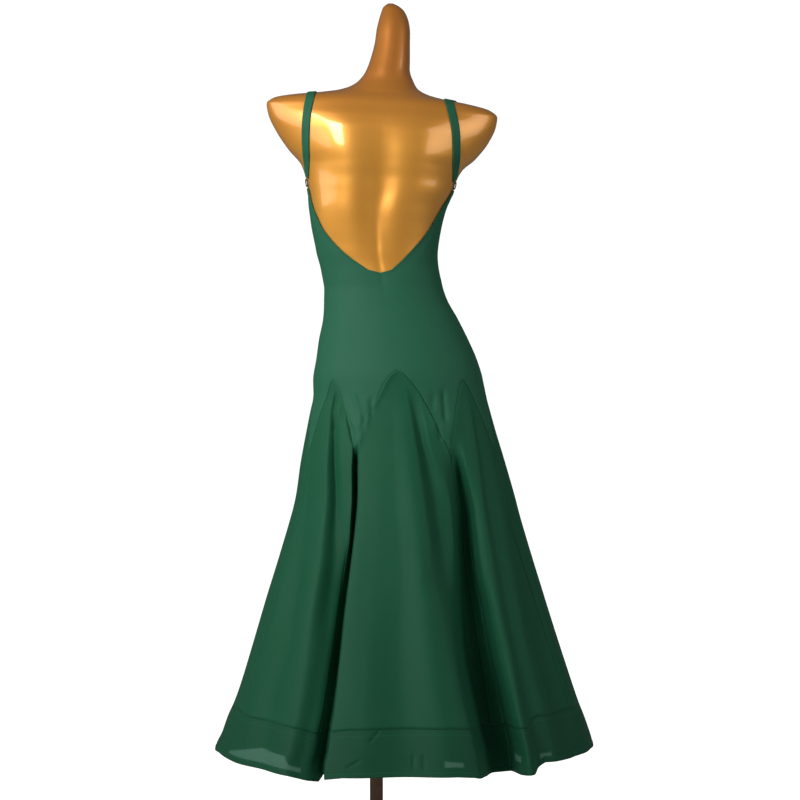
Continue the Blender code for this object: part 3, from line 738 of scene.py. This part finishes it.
def seam_lift(distance, rise=0.0018, reach=0.0026):
    """The rounded edge of a godet that lies proud of the cloth beside it."""
    part = distance / reach
    return rise * part * np.exp(1 - part)


def finish_cloth(piece, node, finish, thick):
    """Thickens a shell, gives it its finish and has it stand for a node of the frame."""
    thicken(piece, thick)
    piece.data.materials.append(finish)
    stand_for(piece, node)


def dress_shell(node, turns, low, high, along, finish, held, rests_on, shape, thick=JERSEY, masks=None):
    """A shell of the dress between two edges. Along holds the rows' parts of the way up."""
    turn = turns[None, :] + 0 * along[:, None]
    height = low(turn) + (high(turn) - low(turn)) * along[:, None]
    points = dress_points(turn, height)
    metres = level_lengths(points)
    run = lengths(points, 0)
    out, ease = shape(turn, metres, run, run[-1:] - run)
    points = dress_points(turn, height, ease)
    points = points + normals_of(dress_points, turn, height) * out[..., None]
    middle = metres - metres[:, metres.shape[1] // 2 : metres.shape[1] // 2 + 1]
    extra = {label: mask(turn, height) for label, mask in (masks or {}).items()}
    piece = grid_shell(node + "_cloth", points, np.stack([middle, run], axis=-1), masks=extra)
    finish_cloth(piece, node, finish, thick)


# Finishes


class Weave(NamedTuple):
    """A cloth finish: two tones, its gloss and the size of its knit."""

    tone: tuple
    deep: tuple
    roughness: float
    sheen: float
    knit: float
    bump: float


# The skirt and hem band tones are the bodice's jersey painted darker, the band darker still: painted shade
# for the light falling off down the skirt towards the floor.
JERSEY_FITTED = Weave((0.019, 0.124, 0.066), (0.017, 0.110, 0.058), 0.62, 0.03, 0.0012, 0.30)
SHADED_SKIRT_JERSEY = Weave((0.009, 0.098, 0.046), (0.008, 0.086, 0.040), 0.64, 0.03, 0.0012, 0.30)
SHADED_BAND_JERSEY = Weave((0.008, 0.086, 0.040), (0.007, 0.076, 0.035), 0.64, 0.03, 0.0012, 0.30)
KNIT_RELIEF = 0.0002
METAL_RELIEF = 0.0006
STITCH_LENGTH = 0.0032
STITCH_SHARE = 0.72
STITCH_RISE = 2.5
THREAD = 0.0009
THREAD_LIGHTER = 1.5
# Painted light: the lighter tone that one layer of the hem shows where light shines through it from behind.
SHEER_PAINTED_BACKLIGHT = (0.050, 0.170, 0.110)
SHEER_CLEAR = 0.10
GLOSS_CLOUDS = 0.03


def node_in(tree, kind, inputs=None, **settings):
    """Adds a node, sets its settings, and fills its inputs with values or links."""
    made = tree.nodes.new(kind)
    for label, value in settings.items():
        setattr(made, label, value)
    for label, value in (inputs or {}).items():
        if isinstance(value, bpy.types.NodeSocket):
            tree.links.new(value, made.inputs[label])
        else:
            made.inputs[label].default_value = value
    return made


def maths(tree, operation, *values, **settings):
    """Adds a sum over values or links, and gives its output."""
    inputs = dict(enumerate(values))
    return node_in(tree, "ShaderNodeMath", inputs, operation=operation, **settings).outputs[0]


def mixed(tree, part, first, second):
    """Adds a mix of two colours, each a tone or a link, and gives its output."""
    sides = [(*side, 1.0) if isinstance(side, tuple) else side for side in (first, second)]
    return node_in(tree, "ShaderNodeMix", {0: part, 6: sides[0], 7: sides[1]}, data_type="RGBA").outputs[2]


def noise(tree, place, scale, detail, roughness=0.5):
    """Adds a cloudy noise, and gives its value."""
    inputs = {"Vector": place, "Scale": scale, "Detail": detail, "Roughness": roughness}
    return node_in(tree, "ShaderNodeTexNoise", inputs).outputs["Fac"]


def new_group(name, inputs, outputs):
    """A shader group with float or vector inputs and outputs, and its two end nodes."""
    group = bpy.data.node_groups.new(name, "ShaderNodeTree")
    for label, kind in inputs:
        group.interface.new_socket(name=label, in_out="INPUT", socket_type=kind)
    for label, kind in outputs:
        group.interface.new_socket(name=label, in_out="OUTPUT", socket_type=kind)
    return group, group.nodes.new("NodeGroupInput").outputs, group.nodes.new("NodeGroupOutput").inputs


def knit_group():
    """Fine wales of a jersey knit with a little unevenness, from UV in metres."""
    group, given, put = new_group(
        "jersey knit",
        [("Place", "NodeSocketVector"), ("Pitch", "NodeSocketFloat")],
        [("Height", "NodeSocketFloat"), ("Tone", "NodeSocketFloat")],
    )
    split = node_in(group, "ShaderNodeSeparateXYZ", {"Vector": given["Place"]})
    waves = []
    for axis, share in (("X", 1.0), ("Y", 0.7)):
        scaled = maths(group, "DIVIDE", split.outputs[axis], given["Pitch"])
        waves.append(maths(group, "SINE", maths(group, "MULTIPLY", scaled, 2 * math.pi * share)))
    loops = maths(group, "MULTIPLY", *waves)
    fluff = noise(group, given["Place"], 900.0, 2.0, 0.6)
    cloud = noise(group, given["Place"], 14.0, 3.0)
    group.links.new(maths(group, "MULTIPLY_ADD", loops, 0.5, fluff), put["Height"])
    group.links.new(maths(group, "MULTIPLY_ADD", cloud, 0.9, 0.05), put["Tone"])
    return group


def stitch_group():
    """A row of short stitches along a line: 1 on the thread and 0 off it, from UV in metres."""
    group, given, put = new_group(
        "stitch row",
        [
            ("Place", "NodeSocketVector"),
            ("Line", "NodeSocketFloat"),
            ("Length", "NodeSocketFloat"),
            ("Thread", "NodeSocketFloat"),
        ],
        [("Mask", "NodeSocketFloat")],
    )
    split = node_in(group, "ShaderNodeSeparateXYZ", {"Vector": given["Place"]})
    away = maths(group, "ABSOLUTE", maths(group, "SUBTRACT", split.outputs["Y"], given["Line"]))
    near = maths(group, "DIVIDE", away, given["Thread"])
    across = maths(group, "SUBTRACT", 1.0, near, use_clamp=True)
    part = maths(group, "FRACT", maths(group, "DIVIDE", split.outputs["X"], given["Length"]))
    dash = maths(group, "LESS_THAN", part, STITCH_SHARE)
    group.links.new(maths(group, "MULTIPLY", across, dash), put["Mask"])
    return group


KNIT = knit_group()
STITCHES = stitch_group()


def new_finish(name):
    """A new material with its node tree and its shader."""
    made = bpy.data.materials.new(name)
    made.use_nodes = True
    return made, made.node_tree, made.node_tree.nodes["Principled BSDF"]


def raise_surface(tree, shader, strength, distance, height):
    """Gives a shader the relief of a height."""
    bump = node_in(tree, "ShaderNodeBump", {"Strength": strength, "Distance": distance, "Height": height})
    tree.links.new(bump.outputs["Normal"], shader.inputs["Normal"])


def cloth_finish(name, weave, stitch_lines=(), sheer_backlight=False):
    """A knit cloth, with rows of stitches at distances from the lower edge."""
    made, tree, shader = new_finish(name)
    place = node_in(tree, "ShaderNodeUVMap", uv_map="cloth").outputs["UV"]
    knit = node_in(tree, "ShaderNodeGroup", {"Place": place, "Pitch": weave.knit}, node_tree=KNIT)
    colour = mixed(tree, knit.outputs["Tone"], weave.tone, weave.deep)
    height = knit.outputs["Height"]
    for line in stitch_lines:
        inputs = {"Place": place, "Line": line, "Length": STITCH_LENGTH, "Thread": THREAD}
        thread = node_in(tree, "ShaderNodeGroup", inputs, node_tree=STITCHES).outputs["Mask"]
        height = maths(tree, "MULTIPLY_ADD", thread, STITCH_RISE, height)
        colour = mixed(tree, thread, colour, tuple(THREAD_LIGHTER * part for part in weave.tone))
    raise_surface(tree, shader, weave.bump, KNIT_RELIEF, height)
    if sheer_backlight:
        # Where the hem is one layer, painted light: the colour turns lighter with the light shining through,
        # and the alpha lets a little of the backdrop through.
        mask = node_in(tree, "ShaderNodeAttribute", attribute_name="sheer_backlight", attribute_type="GEOMETRY")
        colour = mixed(tree, mask.outputs["Fac"], colour, SHEER_PAINTED_BACKLIGHT)
        alpha = maths(tree, "MULTIPLY_ADD", mask.outputs["Fac"], -SHEER_CLEAR, 1.0)
        tree.links.new(alpha, shader.inputs["Alpha"])
    tree.links.new(colour, shader.inputs["Base Color"])
    shader.inputs["Roughness"].default_value = weave.roughness
    shader.inputs["Specular IOR Level"].default_value = 0.18
    shader.inputs["Sheen Weight"].default_value = weave.sheen
    shader.inputs["Sheen Roughness"].default_value = 0.45
    shader.inputs["Sheen Tint"].default_value = (0.35, 0.80, 0.60, 1.0)
    return made


class Metal(NamedTuple):
    """A lacquer or metal: two tones in clouds, its gloss and its clear coat.

    Painted shade holds two heights and the darker tone that the colour is painted towards from the first to
    the second, standing in for less light falling there.
    """

    tone: tuple
    deep: tuple
    roughness: float
    metallic: float
    coat: float
    coat_roughness: float
    grain: float
    bump: float
    painted_shade: tuple


def metal_finish(name, metal):
    """Lacquer or metal with a little cloudiness of tone and gloss, and painted shade between two heights
    where given.
    """
    made, tree, shader = new_finish(name)
    place = node_in(tree, "ShaderNodeTexCoord").outputs["Object"]
    cloud = noise(tree, place, metal.grain, 3.0)
    colour = mixed(tree, cloud, metal.tone, metal.deep)
    gloss = maths(tree, "MULTIPLY_ADD", cloud, 2 * GLOSS_CLOUDS, metal.roughness - GLOSS_CLOUDS)
    # Painted shade: the colour darkens from the first height to the second, where less light falls on the
    # form.
    if metal.painted_shade:
        low, high, dark = metal.painted_shade
        height = node_in(tree, "ShaderNodeSeparateXYZ", {"Vector": place}).outputs["Z"]
        inputs = {"Value": height, "From Min": low, "From Max": high}
        rise = node_in(tree, "ShaderNodeMapRange", inputs, interpolation_type="SMOOTHSTEP")
        colour = mixed(tree, rise.outputs["Result"], colour, dark)
    tree.links.new(colour, shader.inputs["Base Color"])
    tree.links.new(gloss, shader.inputs["Roughness"])
    if metal.bump > 0:
        raise_surface(tree, shader, metal.bump, METAL_RELIEF, cloud)
    shader.inputs["Metallic"].default_value = metal.metallic
    shader.inputs["Coat Weight"].default_value = metal.coat
    shader.inputs["Coat Roughness"].default_value = metal.coat_roughness
    return made


# The lacquer's last row is painted shade: darker gold towards the neck, from 1.40 to 1.58 m, where the neck
# reflects less of the studio's light.
LACQUER = Metal(
    (0.930, 0.410, 0.055), (0.840, 0.360, 0.045), 0.38, 0.45, 1.0, 0.10, 9.0, 0.0,
    (1.40, 1.58, (0.640, 0.225, 0.030)),
)
DARK_METAL = Metal((0.230, 0.135, 0.080), (0.150, 0.088, 0.052), 0.36, 0.75, 0.0, 0.05, 60.0, 0.05, ())
ENAMEL = Metal((0.016, 0.080, 0.046), (0.012, 0.062, 0.036), 0.30, 0.30, 0.5, 0.05, 300.0, 0.0, ())

FITTED = cloth_finish("fitted jersey", JERSEY_FITTED)
# The skirt and band finishes carry painted shade in their darker tones.
SHADED_SKIRT_FINISH = cloth_finish("skirt jersey, painted shade", SHADED_SKIRT_JERSEY)
BAND_STITCHES = (BAND_DEPTH - BAND_STITCH_IN, HEM_STITCH_UP)
SHADED_BAND_FINISH = cloth_finish("hem band jersey, painted shade", SHADED_BAND_JERSEY, BAND_STITCHES, sheer_backlight=True)
STRAPPING = cloth_finish("strap jersey", JERSEY_FITTED)
GOLD = metal_finish("gold lacquer", LACQUER)
BRONZE = metal_finish("dark bronze", DARK_METAL)
RING_FINISH = metal_finish("green ring enamel", ENAMEL)


# The dress


PROUD_GODETS = ("godet_back", "godet_front")


def off_seam(along_cloth, turn, metres):
    """How far places lie from the zigzag seam straight across it, from how far up or down."""
    steps = np.maximum(np.abs(np.gradient(metres, axis=1)), 1e-6)
    slope = np.abs(np.gradient(seam_height(turn), axis=1)) / steps
    return along_cloth / np.sqrt(1 + slope * slope)


def make_godets():
    for godet in GODETS:
        half = godet.columns // 2
        first_half = spread(godet.first, godet.middle, half)
        turns = np.concatenate([first_half[:-1], spread(godet.middle, godet.last, half)])
        along = 1 - (1 - np.linspace(0.0, 1.0, godet.rows + 1)) ** 1.5
        at_back = abs(turned(godet.middle, 0.0)) < SIDE

        def shape(turn, metres, run, to_top):
            to_seam = np.minimum(metres, metres[:, -1:] - metres)
            from_arch = off_seam(to_top, turn, metres)
            if godet.name in PROUD_GODETS:
                return seam_dip(to_seam) + seam_lift(from_arch), EASE
            return np.minimum(seam_dip(to_seam), seam_dip(from_arch, 0.0012, 0.0024)), EASE

        carrier = "bodice_back_cloth" if at_back else "bodice_front_cloth"
        dress_shell(godet.name, turns, band_top, seam_height, along, SHADED_SKIRT_FINISH, "hung", [carrier], shape)


def stepped(stops, step):
    """Turns through all the stops, no further apart than a step."""
    turns = [stops[0]]
    for a, b in zip(stops, stops[1:]):
        count = max(1, math.ceil((b - a) / step))
        turns += list(np.linspace(a, b, count + 1)[1:])
    return np.array(turns)


class Bodice(NamedTuple):
    """One half of the fitted body: where it starts and ends, its strap corners and its mesh."""

    node: str
    first: float
    last: float
    corners: tuple
    top: object
    step: float
    rows: int


BODICES = [
    Bodice(
        "bodice_back", -SIDE, SIDE, (-CORNER_OUTER, -CORNER_INNER, CORNER_INNER, CORNER_OUTER),
        back_top, 0.85, 170,
    ),
    Bodice(
        "bodice_front", SIDE, 360 - SIDE,
        (FRONT_STRAP_OUTER, FRONT_STRAP_INNER, 360 - FRONT_STRAP_INNER, 360 - FRONT_STRAP_OUTER),
        front_top, 1.3, 120,
    ),
]


def make_bodice():
    laps = (-360, 0, 360)
    seams = {place + lap for godet in GODETS for place in (godet.first, godet.middle) for lap in laps}
    for half in BODICES:
        inside = {seam for seam in seams if half.first < seam < half.last}
        turns = stepped(sorted({half.first, half.last, *half.corners, *inside}), half.step)
        even = np.linspace(0.0, 1.0, half.rows + 1)
        along = 0.25 * even + 0.75 * (1 - np.cos(np.pi * even)) / 2

        def shape(turn, metres, run, to_top):
            rim = RIM_RISE * np.exp(-((to_top / RIM_WIDTH) ** 4))
            near_top = np.exp(-((to_top / EDGE_HUG) ** 2))
            out = seam_dip(off_seam(run, turn, metres), 0.0006, 0.0020) + rim
            return out, EASE + (EDGE_EASE - EASE) * near_top

        edges = (seam_height, half.top)
        dress_shell(half.node, turns, *edges, along, FITTED, "stretched", ["form_shell"], shape)


class Sheer(NamedTuple):
    """A patch of the hem where one layer lets a little of the backdrop through and its colour is painted
    lighter with the light shining through it, below a sloping top edge.
    """

    top: tuple
    rim: float


SHEERS = [
    Sheer(((31.0, 0.282), (35.5, 0.288), (38.0, 0.303), (49.5, 0.311), (66.0, 0.296)), 0.0100),
    Sheer(((-17.3, 0.299), (-11.0, 0.303)), 0.0160),
    Sheer(((-36.4, 0.300), (-33.8, 0.302)), 0.0200),
    Sheer(((-50.0, 0.304), (-44.5, 0.302)), 0.0100),
]


SHEER_SIDE = 0.7
SHEER_SOFT = 0.0020


def sheer_at(turn, height):
    """1 where the hem is one thin layer, painted lighter with the light shining through and a little clear,
    and 0 elsewhere.
    """
    total = np.zeros(np.shape(turn))
    away = turned(turn, 0.0)
    above_hem = height - hem_height(turn)
    for patch in SHEERS:
        turns, levels = zip(*patch.top)
        top = np.interp(away, turns, levels)
        inside = smooth_part(away, turns[0], turns[0] + SHEER_SIDE)
        inside = inside * (1 - smooth_part(away, turns[-1] - SHEER_SIDE, turns[-1]))
        inside = inside * (1 - smooth_part(height, top - SHEER_SOFT, top))
        total = np.maximum(total, inside * smooth_part(above_hem, patch.rim, patch.rim + SHEER_SOFT))
    return total


def make_band():
    def shape(turn, metres, run, to_top):
        turned_up = BAND_RELIEF * (1 - smooth_part(run, HEM_STITCH_UP - 0.0010, HEM_STITCH_UP + 0.0005))
        stitched = BAND_RELIEF * np.exp(-(((run - HEM_STITCH_UP) / 0.0012) ** 2))
        return turned_up - stitched - 0.0002 * np.exp(-((to_top / 0.0020) ** 2)), EASE

    near_hem, near_top = np.linspace(0.0, 0.16, 10), np.linspace(0.94, 1.0, 5)
    along = np.unique(np.concatenate([np.linspace(0.0, 1.0, 37), near_hem, near_top]))
    for node, first, count in (("hem_band_back", -SIDE, 560), ("hem_band_front", SIDE, 360)):
        carrier = "godet_back_cloth" if first < 0 else "godet_front_cloth"
        # The band's mask marks painted light where one layer shows light shining through it.
        dress_shell(
            node, spread(first, first + 180, count), hem_height, band_top, along,
            SHADED_BAND_FINISH, "hung", [carrier], shape, thick=BAND_JERSEY, masks={"sheer_backlight": sheer_at},
        )


class Strap(NamedTuple):
    """A shoulder strap: its side, how far it bows outwards and how far it leans at the top."""

    node: str
    side: int
    bow: float
    lean: float


STRAPS = [Strap("strap_left", 1, 0.0045, 0.0), Strap("strap_right", -1, 0.0015, -0.0065)]
STRAP_ROWS = 160
STRAP_COLUMNS = 12
STRAP_SHELL = 0.0011
STRAP_ROUNDING = 0.35


def strap_route(side, bow, lean):
    """Points and outward normals on the form, from the ring over the shoulder to the front."""

    def turn_for(across, height):
        section = section_at(FORM_CURVES, height)
        reach = np.minimum(across / section.half_width, 1.0)
        return np.degrees(np.arcsin(reach ** (section.squareness / 2)))

    levels = np.arange(STRAP_START, 1.54, 0.0005)
    summit = np.flatnonzero(section_at(FORM_CURVES, levels).half_width > STRAP_ACROSS_TOP).max()
    climb = levels[: summit + 1]
    rise = (climb - climb[0]) / (climb[-1] - climb[0])
    back_across = STRAP_ACROSS_BACK + (STRAP_ACROSS_TOP - STRAP_ACROSS_BACK) * rise**3
    back_across = back_across + bow * np.sin(np.pi * rise) + lean * smooth_part(rise, 0.55, 1.0)
    front_across = STRAP_ACROSS_FRONT + (STRAP_ACROSS_TOP + lean - STRAP_ACROSS_FRONT) * rise**2
    keep = climb >= STRAP_FRONT_END
    turns = np.concatenate([turn_for(back_across, climb), (180 - turn_for(front_across, climb))[keep][::-1]])
    heights = np.concatenate([climb, climb[keep][::-1]])
    points = form_points(side * turns, heights)
    reached = lengths(points, 0)
    marks = np.linspace(0.0, reached[-1], STRAP_ROWS + 1)
    turns = side * np.interp(marks, reached, turns)
    heights = np.interp(marks, reached, heights)
    return form_points(turns, heights), normals_of(form_points, turns, heights)


def make_straps():
    for strap in STRAPS:
        spots, normals = strap_route(strap.side, strap.bow, strap.lean)
        ahead = np.gradient(spots, axis=0)
        across = np.cross(ahead, normals)
        across /= np.linalg.norm(across, axis=-1, keepdims=True)
        part = np.linspace(-1.0, 1.0, STRAP_COLUMNS + 1)
        sideways = part * STRAP_WIDTH / 2
        crown = STRAP_EASE + STRAP_JERSEY * (1 - STRAP_ROUNDING * part**6)
        points = spots[:, None] + across[:, None] * sideways[None, :, None]
        points = points + normals[:, None] * crown[None, :, None]
        metres = np.broadcast_to(sideways[None, :], points.shape[:2])
        uv = np.stack([metres, lengths(points, 0)], axis=-1)
        facing = np.einsum("ij,ij->i", np.cross(across, ahead), normals).mean()
        piece = grid_shell(strap.node + "_cloth", points, uv, flip=facing < 0)
        finish_cloth(piece, strap.node, STRAPPING, STRAP_SHELL)


def revolve(shape, steps):
    """Spins all of a shape once round the upright line through the origin."""
    bmesh.ops.spin(
        shape, geom=shape.verts[:] + shape.edges[:], axis=(0, 0, 1), cent=(0, 0, 0),
        angle=2 * math.pi, steps=steps, use_merge=True,
    )
    bmesh.ops.remove_doubles(shape, verts=shape.verts[:], dist=WELD)


def make_rings():
    for name, side in (("strap_ring_left", 1), ("strap_ring_right", -1)):
        turn, height = np.array([side * RING_TURN]), np.array([RING_HEIGHT])
        seat = Vector(form_points(turn, height)[0])
        out = Vector(normals_of(form_points, turn, height)[0])
        ring = bmesh.new()
        wire = bmesh.ops.create_circle(ring, cap_ends=False, radius=RING_WIRE, segments=12)["verts"]
        upright = Vector((0, 0, 1)).rotation_difference(Vector((0, 1, 0))).to_matrix()
        bmesh.ops.rotate(ring, verts=wire, cent=(0, 0, 0), matrix=upright)
        bmesh.ops.translate(ring, verts=wire, vec=(RING_RADIUS, 0, 0))
        revolve(ring, 40)
        turn_to = out.to_track_quat("Z", "Y").to_matrix()
        bmesh.ops.rotate(ring, verts=ring.verts[:], cent=(0, 0, 0), matrix=turn_to)
        bmesh.ops.translate(ring, verts=ring.verts[:], vec=seat + out * (STRAP_EASE + RING_WIRE))
        plain_piece(name + "_wire", ring, RING_FINISH, name)


def plain_piece(name, shape, finish, node):
    """Finishes a hard piece that stands for a node of the frame."""
    bmesh.ops.recalc_face_normals(shape, faces=shape.faces[:])
    if shape.calc_volume(signed=True) < 0:
        bmesh.ops.reverse_faces(shape, faces=shape.faces[:])
    mesh = bpy.data.meshes.new(name)
    shape.to_mesh(mesh)
    shape.free()
    mesh.shade_smooth()
    mesh.set_sharp_from_angle(angle=math.radians(35))
    mesh.materials.append(finish)
    stand_for(add_object(name, mesh), node)


# The form and its stand


FORM_SIDES = 256
FORM_ROWS = 260
FINER_ABOVE = 1.5000
ROWS_BELOW = 0.72


def make_form():
    marks = [FORM[0].height, FINER_ABOVE, FORM[-1].height]
    height = np.interp(np.linspace(0.0, 1.0, FORM_ROWS + 1), [0.0, ROWS_BELOW, 1.0], marks)
    shell = bmesh.new()
    bmesh.ops.create_grid(shell, x_segments=FORM_SIDES, y_segments=FORM_ROWS, size=0.5)
    at = np.array([vertex.co[:2] for vertex in shell.verts])
    turn = (at[:, 0] + 0.5) * 360
    level = height[np.rint((at[:, 1] + 0.5) * FORM_ROWS).astype(int)]
    for vertex, place in zip(shell.verts, form_points(turn, level)):
        vertex.co = place
    bmesh.ops.remove_doubles(shell, verts=shell.verts[:], dist=WELD)
    open_edges = [edge for edge in shell.edges if edge.is_boundary]
    bmesh.ops.holes_fill(shell, edges=open_edges, sides=FORM_SIDES)
    plain_piece("form_shell", shell, GOLD, "form_torso")


def make_foot():
    bore = POLE_RADIUS + SOCKET_GAP
    edge = FOOT_EDGE
    profile = [
        (0.0, SOCKET_FLOOR),
        (bore, SOCKET_FLOOR),
        (bore, HUB_TOP),
        (HUB_RADIUS - edge, HUB_TOP),
        (HUB_RADIUS, HUB_TOP - edge),
        (HUB_RADIUS, FOOT_THICK + 2 * edge),
        (HUB_RADIUS + 0.6 * edge, FOOT_THICK + 0.6 * edge),
        (HUB_RADIUS + 2 * edge, FOOT_THICK),
        (FOOT_RADIUS - edge, FOOT_THICK),
        (FOOT_RADIUS - 0.3 * edge, FOOT_THICK - 0.3 * edge),
        (FOOT_RADIUS, FOOT_THICK - edge),
        (FOOT_RADIUS, 0.0),
        (0.0, 0.0),
    ]
    foot = bmesh.new()
    corners = [foot.verts.new((radius, 0.0, level)) for radius, level in profile]
    for a, b in zip(corners, corners[1:]):
        foot.edges.new((a, b))
    revolve(foot, 128)
    plain_piece("foot_plate", foot, BRONZE, "form_base")


def finish_pole():
    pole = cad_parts["form_pole"]
    for slot in pole.material_slots:
        slot.material = BRONZE


make_form()
make_foot()
finish_pole()
make_bodice()
make_godets()
make_band()
make_straps()
make_rings()


# Studio

PHOTO_CENTRE = (-0.0448, 0.9425)
CAMERA_AWAY = 5.0
PHOTO_WIDTH = 1.52


FLOOR_HALF = 30.0
WORLD_LIGHT = 0.11
WORLD_SEEN = 1.05
SENSOR = 36.0


def white_stage(name, tint):
    """A pale finish that the camera sees as white, and that hardly lights the piece."""
    made, tree, shader = new_finish(name)
    shader.inputs["Base Color"].default_value = (tint, tint, tint, 1.0)
    shader.inputs["Roughness"].default_value = 0.9
    seen = node_in(tree, "ShaderNodeLightPath").outputs["Is Camera Ray"]
    shader.inputs["Emission Color"].default_value = (1.0, 1.0, 1.0, 1.0)
    tree.links.new(seen, shader.inputs["Emission Strength"])
    return made


def make_stage():
    floor = bmesh.new()
    bmesh.ops.create_grid(floor, x_segments=1, y_segments=1, size=FLOOR_HALF)
    mesh = bpy.data.meshes.new("floor")
    floor.to_mesh(mesh)
    floor.free()
    mesh.materials.append(white_stage("pale floor", 0.8))
    add_object("floor", mesh)
    world = bpy.data.worlds.new("studio")
    world.use_nodes = True
    bpy.context.scene.world = world
    tree = world.node_tree
    seen = node_in(tree, "ShaderNodeLightPath").outputs["Is Camera Ray"]
    shade = tree.nodes["Background"]
    shade.inputs["Color"].default_value = (1.0, 1.0, 1.0, 1.0)
    levels = {"Value": seen, "To Min": WORLD_LIGHT, "To Max": WORLD_SEEN}
    strength = node_in(tree, "ShaderNodeMapRange", levels)
    tree.links.new(strength.outputs[0], shade.inputs["Strength"])


class Softbox(NamedTuple):
    """A square light: its place, what it aims at, its size, its power and its spread in degrees."""

    name: str
    place: tuple
    aim: tuple
    width: float
    height: float
    watts: float
    spread: float


SOFTBOXES = [
    Softbox("key softbox", (1.35, 1.75, 2.00), (0.0, 0.0, 1.20), 0.8, 1.4, 10.8, 85.0),
    Softbox("left softbox", (2.10, 0.65, 1.70), (0.0, 0.0, 0.95), 1.6, 1.5, 10.0, 140.0),
    Softbox("right softbox", (-1.95, 1.1, 1.75), (0.0, 0.0, 1.30), 1.5, 1.8, 6.6, 120.0),
]


def make_lights():
    for box in SOFTBOXES:
        data = bpy.data.lights.new(box.name, "AREA")
        data.shape = "RECTANGLE"
        data.size, data.size_y = box.width, box.height
        data.energy = box.watts
        data.spread = math.radians(box.spread)
        lamp = add_object(box.name, data)
        lamp.location = box.place
        away = Vector(box.place) - Vector(box.aim)
        lamp.rotation_euler = away.to_track_quat("Z", "Y").to_euler()


def make_camera():
    data = bpy.data.cameras.new("camera")
    data.sensor_width = SENSOR
    data.lens = SENSOR * CAMERA_AWAY / PHOTO_WIDTH
    camera = add_object("camera", data)
    camera.location = (PHOTO_CENTRE[0], CAMERA_AWAY, PHOTO_CENTRE[1])
    camera.rotation_euler = (math.radians(90), 0.0, math.radians(180))
    bpy.context.scene.camera = camera
    bpy.context.scene.view_settings.view_transform = "Standard"


make_stage()
make_lights()
make_camera()
bpy.context.view_layer.update()
